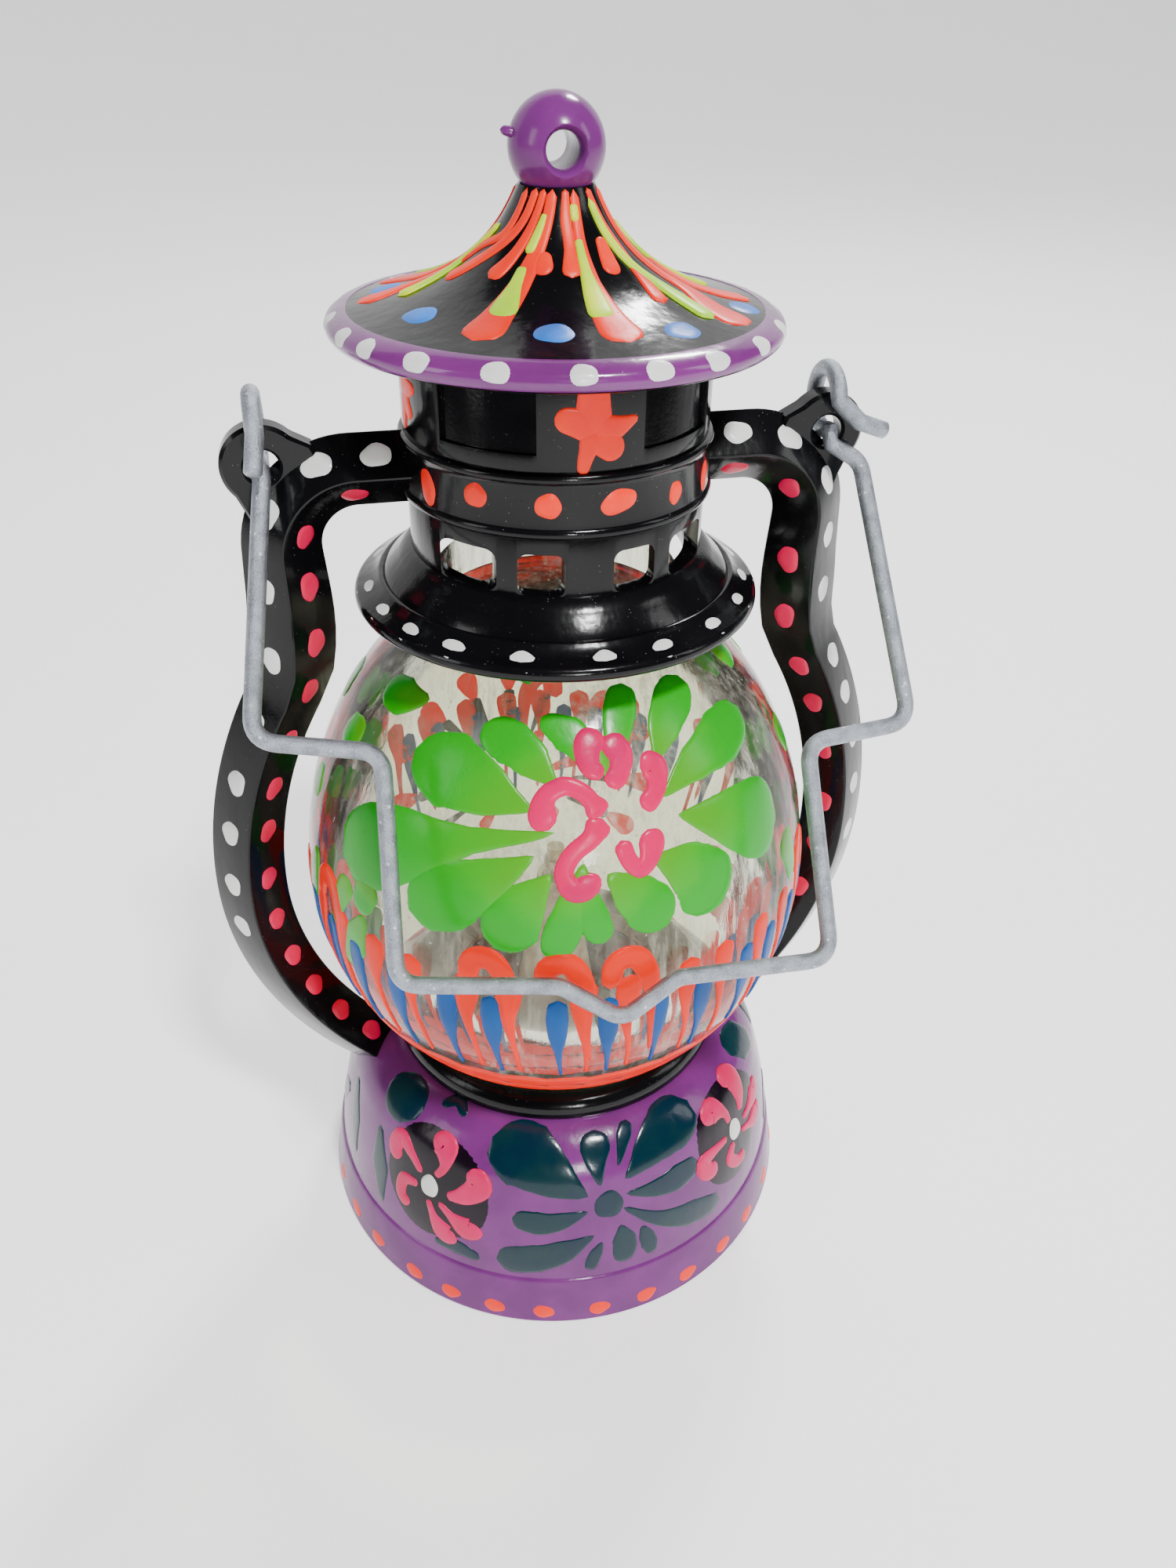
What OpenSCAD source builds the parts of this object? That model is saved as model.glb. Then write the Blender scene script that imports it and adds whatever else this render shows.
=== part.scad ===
// Small painted hurricane lantern that shelters an oil lamp (a diya) inside its globe.
// Millimetres, +Z up. The origin is the middle of the underside of the base.
// The arms lie along X and the front of the lantern faces -Y.

/* [Base] */
// Radius of the base where it stands on the floor
base_r = 31.7; // [31.2:0.1:33]
// Height of the plain band round the foot of the base
band_h = 6.9; // [5:0.1:8]
// Height of the base up to the flat top of its shoulder
base_h = 26.2; // [26.0:0.1:26.4]
// Wall thickness of the cast metal pieces
metal_t = 1.6; // [1.2:0.1:2]
// Thickness of the cover that closes the base underneath
cover_t = 1.2; // [1:0.1:1.6]

/* [Globe] */
// Largest outer radius of the glass globe
globe_r = 29.5; // [28.5:0.1:29.8]
// Height of the widest part of the globe
globe_z = 52.5; // [52:0.1:53]
// Thickness of the glass
glass_t = 1.2; // [0.8:0.1:1.5]
// Outer radius of the globe's neck
neck_r = 12.6; // [12:0.1:12.8]

/* [Chimney and roof] */
// Outer radius of the upper chimney
chimney_r = 15.0; // [14.9:0.1:15.2]
// Inner radius of the chimney
flue_r = 13.2; // [13.1:0.1:13.5]
// Largest radius of the roof
roof_r = 21.3; // [20.5:0.1:22]
// Height of the bottom edge of the roof
roof_z = 112.6; // [112.3:0.1:112.9]
// Radius of the ball that the lantern hangs by
eye_r = 4.3; // [4.2:0.05:4.6]
// Radius of the hole through that ball
eye_hole_r = 1.5; // [1.2:0.1:1.8]

/* [Arms] */
// Half the width of an arm, across its front ridge
arm_w = 4.05; // [3.6:0.05:4.2]
// Half the depth of an arm, from front ridge to back ridge
arm_d = 4.0; // [3.4:0.1:4.4]
// Distance of the bail hole from the middle of the lantern
lug_x = 28.4; // [28:0.1:29]
// Height of the bail hole
lug_z = 101.9; // [101.7:0.1:102.2]

/* [Bail] */
// Diameter of the bail's galvanised wire
wire_d = 1.8; // [1.6:0.1:1.9]
// How far the bail leans forward from straight down at rest, in degrees
bail_rest = 32.6; // [32:0.1:40]
// Radius that the wire takes at its bends
bend_r = 2.6; // [2:0.1:3]

/* [Burner] */
// Radius of the oil font
font_r = 14.0; // [13:0.1:14.2]
// Height of the ledge in the font that the lid rests on
lid_z = 15; // [12:0.5:18]
// Height of the top of the wick tube
tube_top = 50; // [46:0.5:52]
// Outer radius of the wick tube
tube_r = 1.5; // [1.3:0.1:1.8]

/* [Hidden] */
$fn = 96;
eps = 0.01;

// Base: the side falls back slowly, then a round shoulder carries it in to the top
side_z = band_h + 0.2;
side_r0 = base_r - 1.55;
side_slope = 0.1;
side_curve = 0.0088;
shoulder_cr = 18.3;
shoulder_cz = base_h - 9;
shoulder_r = 9.5;
shoulder_low = 17;
shoulder_high = 71.3;
font_hole_r = font_r + 0.1;
cover_r = base_r - 2.1;
ledge_r = cover_r - 1.2;
cover_screw_at = 25.6;
cover_screw_r = 1.2;
post_r = 2.9;
post_h = 12;

// Globe: two half ellipses and a straight neck
globe_up = 35.6;
globe_down = 30;
foot_z = base_h + 1.6;
seat_z = base_h + 1.2;
seat_bore_r = 14.3;
neck_top = 89.6;
foot_angle = -asin((globe_z - foot_z) / globe_down);
neck_angle = acos(neck_r / globe_r);
flange_t = 0.4;
flange_r = 16.2;

// Burner: a font that hangs by its flange, its lid and the tube through it
font_z = 5;
font_t = 0.5;
lid_t = 0.5;
tube_z = 10;

// Collar, vents, band and stack stand on each other
collar_z = 86.5;
collar_r = 21.1;
vent_z = 91.2;
vent_r = 14.9;
band_z = 98.0;
band_r = 15.3;
stack_z = 104.3;
window_z = 92.4;
window_h = 4.2;
window_round = 1.0;
windows = [[-12.9, -8.4], [-6.6, -2.3], [2.3, 6.6], [8.4, 12.9]];
panel_in = 4.8;
panel_out = 12.3;
panel_depth = 0.5;

// Roof: a hyperbola falls from the neck to the rim
roof_k = 88.6;
roof_a = 2.85;
roof_c = roof_z - 1.4;
roof_seat_z = roof_z + 1.5;
roof_neck_r = 3.45;
roof_solid_r = 5;
rim_top_r = roof_r - 1.1;
eye_z = 128.1;
eye_cut_z = roof_c + roof_k / (roof_neck_r + roof_a);
stem_r = 1.4;
eye_nut_z = 117.6;

// Arms: a bow round the globe, a leg, a corner and a bridge to the chimney
bow_z = 51.5;
bow_x = 36.3;
bow_low_r = 38.3;
bow_high_r = 51.3;
corner_x = 20;
corner_z = 93.1;
corner_r = 7.65;
bridge_w = 3.7;
lug_t = 2.6;
lug_r = 3.95;
lug_hole_r = 1.6;
screw_r = 1.2;
screw_head_r = 2.2;
foot_screw_angle = 45;
foot_screw_r = 25.3;
foot_screw_z = 24.0;

// Bail, in a frame with its hinge axis on X and its legs straight down
hinge_z = lug_z + 3;
hook_r = 3.05;
loose_hook_r = 3.4;
loose_hook_x = lug_x + 0.2;
hook_start = 180;
hook_end = 470;
wire_sides = 8;
left_leg = [[-32.5, -28.5], [-20.6, -30.9], [-21.9, -53.3], [-6.1, -55.9], [-0.2, -60.2]];
right_leg = [[6, -56.9], [22.6, -57.5], [22.4, -34.8], [34, -34], [31.4, -6.6]];
left_tip = [[-0.6, -3.2, -4.8]];
right_tip = [[2.0, -2.9, -3.3], [5.0, -2.3, -4.2]];

// Points on an arc of radius r round [cx, cy]
function arc(cx, cy, r, a0, a1, n = 8) =
    [for (i = [0:n]) let (a = a0 + (a1 - a0) * i / n) [cx + r * cos(a), cy + r * sin(a)]];

function reversed(list) = [for (i = [len(list) - 1:-1:0]) list[i]];

function unit(v) = v / norm(v);

// Outer radius of the base's side at height z
function side_r(z) = side_r0 - side_slope * (z - side_z) - side_curve * pow(z - side_z, 2);

// The side and shoulder of the base, t inside its outer face, from the bottom up
function base_side(t) = concat(
    [for (z = [side_z:2:18]) [side_r(z) - t, z]],
    arc(shoulder_cr, shoulder_cz, shoulder_r - t, shoulder_low, shoulder_high, 10));

function base_foot() = [[base_r, 0], [base_r - 0.3, 1], [base_r - 1.3, band_h]];

// Half profile of the globe, t inside its outer face, from its foot to its neck
function globe_side(t) =
    [for (i = [0:40])
        let (a = foot_angle + (neck_angle - foot_angle) * i / 40,
             h = (a < 0 ? globe_down : globe_up) - t)
        [(globe_r - t) * cos(a), globe_z + h * sin(a)]];

// Height of the roof's upper face at radius r
function roof_h(r) = roof_c + roof_k / (r + roof_a);

module turned(profile) {
    rotate_extrude() polygon(profile);
}

module base_solid() {
    turned(concat([[0, 0]], base_foot(), base_side(0), [[0, base_h]]));
}

module cover_screw_places() {
    for (a = [90, 210, 330]) rotate([0, 0, a]) translate([cover_screw_at, 0, 0]) children();
}

// The line of a foot screw, square to the shoulder, with z = 0 on the shoulder's face
module foot_screw_place() {
    translate([foot_screw_r, 0, foot_screw_z]) rotate([0, foot_screw_angle, 0]) children();
}

module both_sides() {
    children();
    mirror([1, 0, 0]) children();
}

module base_shell() {
    inner = concat([[cover_r, 0], [cover_r, cover_t], [ledge_r, cover_t], [ledge_r, 3]],
                   base_side(metal_t),
                   [[font_hole_r, base_h - metal_t], [font_hole_r, base_h]]);
    color("darkorchid") difference() {
        union() {
            turned(concat(inner, reversed(base_side(0)), reversed(base_foot())));
            cover_screw_places() translate([0, 0, cover_t]) cylinder(r = post_r, h = post_h);
            intersection() {
                both_sides() foot_screw_place()
                    translate([0, 0, -3.6]) cylinder(r = 2.8, h = 3.4);
                base_solid();
            }
        }
        cover_screw_places() cylinder(r = cover_screw_r, h = 10);
        both_sides() foot_screw_place() translate([0, 0, -8]) cylinder(r = screw_r, h = 12);
    }
}

module base_cover() {
    color("dimgray") difference() {
        cylinder(r = cover_r - 0.05, h = cover_t);
        cover_screw_places() {
            translate([0, 0, -eps]) cylinder(r = cover_screw_r, h = cover_t + 2 * eps);
            translate([0, 0, -eps]) cylinder(r1 = 2.3, r2 = cover_screw_r, h = 0.9);
        }
    }
}

module cover_screws() {
    color("silver") cover_screw_places() {
        difference() {
            union() {
                cylinder(r1 = 2.2, r2 = cover_screw_r - 0.1, h = 0.9);
                cylinder(r = cover_screw_r - 0.1, h = 9);
            }
            translate([-3, -0.25, -eps]) cube([6, 0.5, 0.45]);
        }
    }
}

module oil_font() {
    color("lightgray") turned([
        [0, font_z], [font_r - 0.4, font_z], [font_r, font_z + 0.4], [font_r, base_h],
        [flange_r, base_h], [flange_r, base_h + flange_t], [font_r - font_t, base_h + flange_t],
        [font_r - font_t, lid_z], [font_r - 1.5, lid_z], [font_r - 1.5, font_z + font_t],
        [0, font_z + font_t]]);
}

module font_lid() {
    lid_r = font_r - font_t - 0.05;
    color("gainsboro") turned([
        [tube_r, lid_z], [lid_r, lid_z], [lid_r, lid_z + 0.8], [lid_r - 0.6, lid_z + 1.1],
        [9.6, lid_z + 1.1], [9.6, lid_z + lid_t], [tube_r, lid_z + lid_t]]);
}

module burner_cone() {
    foot = lid_z + lid_t;
    color("gainsboro") turned([
        [7.6, foot], [9.4, foot], [9.4, foot + 0.5], [8.4, foot + 0.9], [6.2, foot + 8],
        [4.6, foot + 16], [3.2, foot + 25], [2.3, foot + 32], [tube_r, foot + 32],
        [tube_r, foot + 31.4], [2.6, foot + 24.8], [4, foot + 15.8], [5.6, foot + 7.8]]);
}

module wick_tube() {
    color("silver") difference() {
        translate([0, 0, tube_z]) cylinder(r = tube_r, h = tube_top - tube_z);
        translate([0, 0, tube_z - 1]) cylinder(r = tube_r - 0.35, h = tube_top);
    }
}

module wick() {
    color("ivory") translate([0, 0, 8]) cylinder(r = tube_r - 0.45, h = tube_top - 8 + 1.6);
}

module neck_ring() {
    color("#101012") turned(concat(
        [[flange_r + 0.1, base_h], [21.2, base_h]],
        arc(19.35, base_h + 0.8, 2.0, -15, 90),
        [[18.85, base_h + 2.8], [17.3, foot_z], [17.3, seat_z], [seat_bore_r, seat_z],
         [seat_bore_r, base_h + flange_t], [flange_r + 0.1, base_h + flange_t]]));
}

module globe_seat() {
    color("sienna") turned([[14.5, seat_z], [17.0, seat_z], [17.0, foot_z], [14.5, foot_z]]);
}

module globe() {
    inner_neck = neck_r - glass_t;
    inner = [for (p = reversed(globe_side(glass_t)))
        if (p.y > foot_z && (p.x > inner_neck || p.y < globe_z)) p];
    low = globe_side(0)[0];
    color("honeydew", 0.4) turned(concat(
        globe_side(0),
        [[neck_r, neck_top - 0.4], [neck_r - 0.4, neck_top], [inner_neck + 0.4, neck_top],
         [inner_neck, neck_top - 0.4]],
        inner,
        [[low.x - 2.0, foot_z]]));
}

module globe_collar() {
    color("#101012") turned(concat(
        [[vent_r, vent_z - 0.4], [15.9, vent_z - 1.0], [17.6, 88.7], [19.5, collar_z + 0.9],
         [19.8, collar_z]],
        arc(collar_r - 0.8, collar_z + 0.8, 0.8, -90, 70, 6),
        [[18.6, 89.2], [18.3, 89.5], [16.6, 90.9], [16.3, 91.3], [15.4, 92.4], [vent_r, 92.5]]));
}

// A window with round corners, cut straight through from front to back
module window(x0, x1, z0, h, r, depth) {
    translate([0, depth / 2, 0]) rotate([90, 0, 0]) linear_extrude(depth) {
        for (x = [x0 + r, x1 - r], z = [z0 + r, z0 + h - r]) translate([x, z]) circle(r, $fn = 32);
        translate([x0 + r, z0]) square([x1 - x0 - 2 * r, h]);
        translate([x0, z0 + r]) square([x1 - x0, h - 2 * r]);
    }
}

module vent_ring() {
    color("#101012") difference() {
        translate([0, 0, vent_z]) cylinder(r = vent_r, h = band_z - vent_z);
        translate([0, 0, vent_z - 1]) cylinder(r = flue_r, h = band_z - vent_z + 2);
        for (w = windows) window(w[0], w[1], window_z, window_h, window_round, 40);
    }
}

module chimney_band() {
    color("#101012") difference() {
        union() {
            turned(concat(
                [[flue_r, band_z], [band_r - 0.3, band_z]],
                arc(band_r - 0.35, band_z + 0.7, 0.6, -60, 60, 4),
                [[band_r - 0.1, band_z + 1.6], [band_r - 0.1, stack_z - 1.4]],
                arc(band_r - 0.3, stack_z - 0.5, 0.5, -50, 80, 4),
                [[flue_r, stack_z]]));
            both_sides() translate([flue_r - 1, 0, corner_z + corner_r])
                rotate([0, 90, 0]) cylinder(r = 2.6, h = 1.8);
        }
        translate([-20, 0, corner_z + corner_r]) rotate([0, 90, 0]) cylinder(r = screw_r, h = 40);
    }
}

module chimney_stack() {
    h = roof_seat_z - stack_z;
    color("#101012") difference() {
        translate([0, 0, stack_z]) cylinder(r = chimney_r, h = h);
        translate([0, 0, stack_z - 1]) cylinder(r = flue_r, h = h + 2);
        intersection() {
            difference() {
                translate([0, 0, stack_z + 1.6]) cylinder(r = chimney_r + 1, h = h);
                cylinder(r = chimney_r - panel_depth, h = 200);
            }
            both_sides() translate([panel_in, -20, 0]) cube([panel_out - panel_in, 40, 200]);
        }
    }
}

// Centre of the arm with half its width and half its depth: [x, z, width, depth]
function arm_stations() = concat(
    [for (a = [-52:6.5:-6]) [bow_x - bow_low_r * (1 - cos(a)), bow_z + bow_low_r * sin(a),
                             arm_w, arm_d]],
    [for (a = [0:5:30]) [bow_x - bow_high_r * (1 - cos(a)), bow_z + bow_high_r * sin(a),
                         arm_w, arm_d]],
    [[28.2, 80.4, arm_w + 0.35, arm_d], [27.75, 84.5, arm_w + 0.5, arm_d],
     [27.6, 88.6, arm_w + 0.3, arm_d]],
    [for (a = [0:15:90]) [corner_x + corner_r * cos(a), corner_z + corner_r * sin(a),
                          arm_w - (arm_w - bridge_w) * a / 90, arm_d - 0.4 * a / 90]],
    [[13, corner_z + corner_r, bridge_w, arm_d - 0.4]]);

// A bar with a diamond section that follows the stations
module diamond_bar(s) {
    last = len(s) - 1;
    points = [for (i = [0:last])
        let (a = s[max(i - 1, 0)], b = s[min(i + 1, last)],
             d = unit([b[0] - a[0], b[1] - a[1]]),
             nx = d[1] * s[i][2], nz = -d[0] * s[i][2])
        each [[s[i][0] + nx, 0, s[i][1] + nz], [s[i][0], -s[i][3], s[i][1]],
              [s[i][0] - nx, 0, s[i][1] - nz], [s[i][0], s[i][3], s[i][1]]]];
    sides = [for (i = [0:last - 1], k = [0:3])
        [4 * i + (k + 1) % 4, 4 * i + 4 + (k + 1) % 4, 4 * i + 4 + k, 4 * i + k]];
    polyhedron(points, concat([[3, 2, 1, 0]], sides, [[for (k = [0:3]) 4 * last + k]]));
}

// The lug that the bail hooks into, with the web and the rib that tie it to the arm
module lug() {
    rotate([90, 0, 0]) translate([0, 0, -lug_t / 2]) linear_extrude(lug_t) {
        translate([lug_x, lug_z]) circle(lug_r);
        polygon([[22.6, 101], [23.6, 103.6], [27.4, lug_z + 3.7], [lug_x, lug_z + lug_r],
                 [31.3, 99.3], [30.2, 96.8], [29, 93], [26, 96]]);
    }
}

module arm(side) {
    color("#101012") mirror([side < 0 ? 1 : 0, 0, 0]) difference() {
        union() {
            diamond_bar(arm_stations());
            lug();
        }
        translate([lug_x, 5, lug_z]) rotate([90, 0, 0]) cylinder(r = lug_hole_r, h = 10, $fn = 48);
        base_solid();
        translate([0, 0, base_h - 1]) cylinder(r = 21.5, h = 5);
        translate([0, 0, 90]) cylinder(r = band_r + 0.25, h = 20);
        foot_screw_place() translate([0, 0, -2]) cylinder(r = screw_r - 0.2, h = 8.5);
        translate([10, 0, corner_z + corner_r]) rotate([0, 90, 0]) cylinder(r = screw_r - 0.2, h = 11);
    }
}

// A round-headed screw that points up, with the underside of its head at z = 0
module screw(length) {
    difference() {
        union() {
            translate([0, 0, -1.3]) cylinder(r = screw_head_r, h = 1.3);
            cylinder(r = screw_r - 0.25, h = length);
        }
        translate([-3, -0.3, -1.3 - eps]) cube([6, 0.6, 0.6]);
    }
}

module arm_screws_top() {
    color("silver") both_sides() translate([flue_r - 1, 0, corner_z + corner_r])
        rotate([0, 90, 0]) screw(8);
}

module arm_screws_foot() {
    color("silver") both_sides() foot_screw_place() translate([0, 0, -3.6]) screw(9.6);
}

// The route with each inner corner rounded to radius r
function rounded(p, r) = concat([p[0]], [for (i = [1:len(p) - 2])
    let (u = unit(p[i - 1] - p[i]), v = unit(p[i + 1] - p[i]), half = acos(u * v) / 2,
         d = min(r / tan(half), 0.45 * min(norm(p[i - 1] - p[i]), norm(p[i + 1] - p[i]))))
    each [for (t = [0:0.25:1])
        p[i] + u * d * pow(1 - t, 2) + v * d * pow(t, 2)]], [p[len(p) - 1]]);

function tangent(p, i) = unit(p[min(i + 1, len(p) - 1)] - p[max(i - 1, 0)]);

// Normals carried along the route without twist
function normals(p, n, i = 0) = i == len(p) ? [] :
    let (t = tangent(p, i), m = unit(n - t * (n * t))) concat([m], normals(p, m, i + 1));

// A round wire of diameter d along the points p
module wire(p, d) {
    n = normals(p, [0, 0.31, 0.95]);
    k = wire_sides;
    last = len(p) - 1;
    points = [for (i = [0:last], j = [0:k - 1])
        let (a = 360 * j / k, b = cross(tangent(p, i), n[i]))
        p[i] + d / 2 * (n[i] * cos(a) + b * sin(a))];
    sides = [for (i = [0:last - 1], j = [0:k - 1])
        [k * i + j, k * i + k + j, k * i + k + (j + 1) % k, k * i + (j + 1) % k]];
    polyhedron(points, concat(
        [[for (j = [0:k - 1]) j]], sides, [[for (j = [k - 1:-1:0]) k * last + j]]));
}

// A hook round the lug's rim, from its leg to its cut end
function hook(x, r) = [for (a = [hook_start:14.5:hook_end]) [x, -r * sin(a), r * cos(a)]];

function bail_route() = concat(
    [for (p = left_tip) [-loose_hook_x, 0, 0] + p],
    reversed(hook(-loose_hook_x, loose_hook_r)),
    rounded(concat([[-loose_hook_x, 0, -loose_hook_r - 1.2]],
                   [for (p = concat(left_leg, right_leg)) [p.x, 0, p.y]],
                   [[lug_x, 0, -hook_r - 1.6]]), bend_r),
    hook(lug_x, hook_r),
    [for (p = right_tip) [lug_x, 0, 0] + p]);

module bail() {
    color("lightsteelblue") translate([0, 0, hinge_z]) rotate([-bail_rest, 0, 0])
        wire(bail_route(), wire_d);
}

module roof_cap() {
    top = [for (r = [roof_neck_r, 3.8, 4.4, 5, 5.8, 6.8, 8, 9.4, 11, 13, 15, 17, 19, rim_top_r])
        [r, roof_h(r)]];
    under = [for (r = [19, 17, 15.6]) [r, roof_h(r) - 1.9]];
    color("#101012") difference() {
        turned(concat(
            [[0, roof_h(roof_neck_r)]], top,
            arc(roof_r - 1, roof_z + 1.2, 1.0, 60, -60, 6),
            [[roof_r - 1.4, roof_z + 0.3]], under,
            [[15.4, roof_seat_z], [flue_r - 0.1, roof_seat_z], [flue_r - 0.1, roof_seat_z - 2],
             [flue_r - 1, roof_seat_z - 2], [flue_r - 1, roof_seat_z], [9, roof_seat_z + 2.2],
             [roof_solid_r, eye_nut_z + 2], [0, eye_nut_z + 2]]));
        translate([0, 0, 110]) cylinder(r = stem_r + 0.05, h = 20);
    }
}

module hanging_eye() {
    wide = eye_hole_r + 0.9;
    color("darkorchid") difference() {
        union() {
            intersection() {
                translate([0, 0, eye_z]) sphere(r = eye_r);
                translate([-eye_r, -eye_r, eye_cut_z]) cube(2 * eye_r);
            }
            translate([0, 0, eye_nut_z - 0.6]) cylinder(r = stem_r, h = eye_cut_z - eye_nut_z + 1);
        }
        translate([0, 0, eye_z]) rotate([90, 0, 0]) turned([
            [0, -8], [wide, -8], [wide, -4.8], [eye_hole_r, -3], [eye_hole_r, 3], [wide, 4.8],
            [wide, 8], [0, 8]]);
    }
}

module eye_nut() {
    color("silver") translate([0, 0, eye_nut_z]) difference() {
        cylinder(r = 2.9, h = 2, $fn = 6);
        translate([0, 0, -1]) cylinder(r = stem_r + 0.05, h = 4);
    }
}

base_shell();
base_cover();
cover_screws();
oil_font();
font_lid();
burner_cone();
wick_tube();
wick();
neck_ring();
globe_seat();
globe();
globe_collar();
vent_ring();
chimney_band();
chimney_stack();
arm(-1);  // arm_left
arm(1);  // arm_right
arm_screws_top();
arm_screws_foot();
bail();
roof_cap();
hanging_eye();
eye_nut();
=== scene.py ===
"""Painted hurricane lantern: smooth castings, blown glass, wire bail and all the brush work."""
import math
import random

import bmesh
import bpy
import numpy as np
from mathutils import Matrix, Vector


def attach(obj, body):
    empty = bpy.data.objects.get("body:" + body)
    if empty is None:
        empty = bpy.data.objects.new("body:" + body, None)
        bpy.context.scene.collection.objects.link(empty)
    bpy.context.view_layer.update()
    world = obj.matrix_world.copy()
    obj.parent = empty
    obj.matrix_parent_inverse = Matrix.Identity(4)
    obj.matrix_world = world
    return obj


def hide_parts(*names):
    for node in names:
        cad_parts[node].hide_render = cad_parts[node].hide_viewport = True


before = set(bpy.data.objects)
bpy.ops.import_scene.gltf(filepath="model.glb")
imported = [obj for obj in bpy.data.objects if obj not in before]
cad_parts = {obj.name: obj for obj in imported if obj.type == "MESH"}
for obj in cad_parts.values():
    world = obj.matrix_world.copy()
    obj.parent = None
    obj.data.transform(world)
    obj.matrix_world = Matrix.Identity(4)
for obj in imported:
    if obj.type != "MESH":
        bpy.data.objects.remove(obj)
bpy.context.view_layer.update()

MM = 0.001

# Sizes of the castings, in millimetres
BASE_R = 31.7
BAND_H = 6.9
BASE_H = 26.2
METAL_T = 1.6
GLOBE_R = 29.5
GLOBE_Z = 52.5
GLOBE_UP = 35.6
GLOBE_DOWN = 30.0
GLASS_T = 1.2
NECK_R = 12.6
NECK_TOP = 89.6
FOOT_Z = 27.8
LID_Z = 15.0
FLUE_R = 13.2
COLLAR_Z = 86.5
COLLAR_R = 21.1
VENT_Z = 91.2
VENT_R = 14.9
BAND_Z = 98.0
BAND_R = 15.3
STACK_Z = 104.3
STACK_R = 15.0
ROOF_R = 21.3
ROOF_Z = 112.6
ROOF_K = 88.6
ROOF_A = 2.85
ROOF_C = ROOF_Z - 1.4
ROOF_NECK_R = 3.45
EYE_R = 4.3
EYE_Z = 128.1
EYE_HOLE_R = 1.5
ARM_W = 4.05
ARM_D = 4.0
LUG_X = 28.4
LUG_Z = 101.9
LUG_R = 3.95
LUG_T = 2.6
LUG_HOLE_R = 1.6
CORNER_X = 20.0
CORNER_Z = 93.1
CORNER_R = 7.65
BOW_Z = 51.5
BOW_X = 36.3
BOW_LOW_R = 38.3
BOW_HIGH_R = 51.3
WIRE_R = 0.87
END_BEVEL = 0.25
BAIL_REST = math.radians(32.6)

# Paint colours, as seen on screen
BLACK = (10, 10, 12)
PURPLE = (112, 44, 116)
ORANGE = (250, 52, 0)
LIME = (214, 232, 0)
SKY = (28, 122, 222)
BLUE = (28, 104, 184)
HOT_PINK = (212, 0, 94)
ROSE = (222, 0, 78)
CREAM = (226, 228, 224)
LEAF = (0, 160, 12)
LEAF_THIN = (84, 176, 24)
BOTTLE = (8, 44, 48)
DUST = (190, 190, 184)
PAINT_GLOSS = 0.24


def screen(colour):
    """A screen colour from 0 to 255 as linear RGBA."""
    def one(v):
        v /= 255
        return v / 12.92 if v <= 0.04045 else ((v + 0.055) / 1.055) ** 2.4
    return (*(one(v) for v in colour), 1.0)


# ---------------------------------------------------------------- node graphs

class Wire:
    """An output socket that can be used in ordinary arithmetic."""

    def __init__(self, graph, socket):
        self.graph = graph
        self.socket = socket

    def _math(self, operation, a, b=None):
        return self.graph.node("ShaderNodeMath", {0: a, 1: b}, operation=operation)

    def __add__(self, other):
        return self._math("ADD", self, other)

    def __radd__(self, other):
        return self._math("ADD", other, self)

    def __sub__(self, other):
        return self._math("SUBTRACT", self, other)

    def __rsub__(self, other):
        return self._math("SUBTRACT", other, self)

    def __mul__(self, other):
        return self._math("MULTIPLY", self, other)

    def __rmul__(self, other):
        return self._math("MULTIPLY", other, self)

    def __truediv__(self, other):
        return self._math("DIVIDE", self, other)

    def __rtruediv__(self, other):
        return self._math("DIVIDE", other, self)

    def ramp(self, low, high, to_low=0.0, to_high=1.0):
        """Eases from to_low to to_high while the value goes from low to high."""
        return self.graph.node(
            "ShaderNodeMapRange", {0: self, 1: low, 2: high, 3: to_low, 4: to_high},
            interpolation_type="SMOOTHSTEP")


class Graph:
    """A node tree with one method that makes any node."""

    def __init__(self, tree):
        self.tree = tree
        tree.nodes.clear()

    def node(self, kind, inputs=None, out=0, **settings):
        made = self.tree.nodes.new(kind)
        for key, value in settings.items():
            setattr(made, key, value)
        for key, value in (inputs or {}).items():
            if isinstance(value, Wire):
                self.tree.links.new(value.socket, made.inputs[key])
            elif value is not None:
                made.inputs[key].default_value = value
        return Wire(self, made.outputs[out]) if made.outputs else None

    def place(self, stretch=(1, 1, 1)):
        """Object coordinates in millimetres, stretched."""
        at = self.node("ShaderNodeTexCoord", out="Object")
        scale = tuple(s / MM for s in stretch)
        return self.node("ShaderNodeVectorMath", {0: at, 1: scale}, operation="MULTIPLY")

    def noise(self, size, stretch=(1, 1, 1), detail=2.0, rough=0.5):
        """Soft noise with features about size millimetres across."""
        return self.node("ShaderNodeTexNoise", {
            "Vector": self.place(stretch), "Scale": 1 / size, "Detail": detail,
            "Roughness": rough})

    def grains(self, size):
        """Distance to the nearest of scattered points about size millimetres apart."""
        return self.node("ShaderNodeTexVoronoi", {
            "Vector": self.place(), "Scale": 1 / size, "Randomness": 1.0})

    def mix(self, factor, a, b):
        """Colour a where factor is 0 and b where it is 1."""
        return self.node("ShaderNodeMix", {"Factor": factor, 6: a, 7: b}, out=2,
                         data_type="RGBA")

    def bump(self, height, distance, strength=1.0):
        """A normal from a height, with the distance in millimetres."""
        return self.node("ShaderNodeBump", {
            "Height": height, "Distance": distance * MM, "Strength": strength})

    def along(self):
        """The attribute that runs from 0 to 1 along a brush stroke."""
        return self.node("ShaderNodeAttribute", out="Fac", attribute_name="along")


def new_material(name):
    made = bpy.data.materials.new(name)
    made.use_nodes = True
    return made, Graph(made.node_tree)


def surface(graph, shader):
    graph.node("ShaderNodeOutputMaterial", {"Surface": shader})


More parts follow.
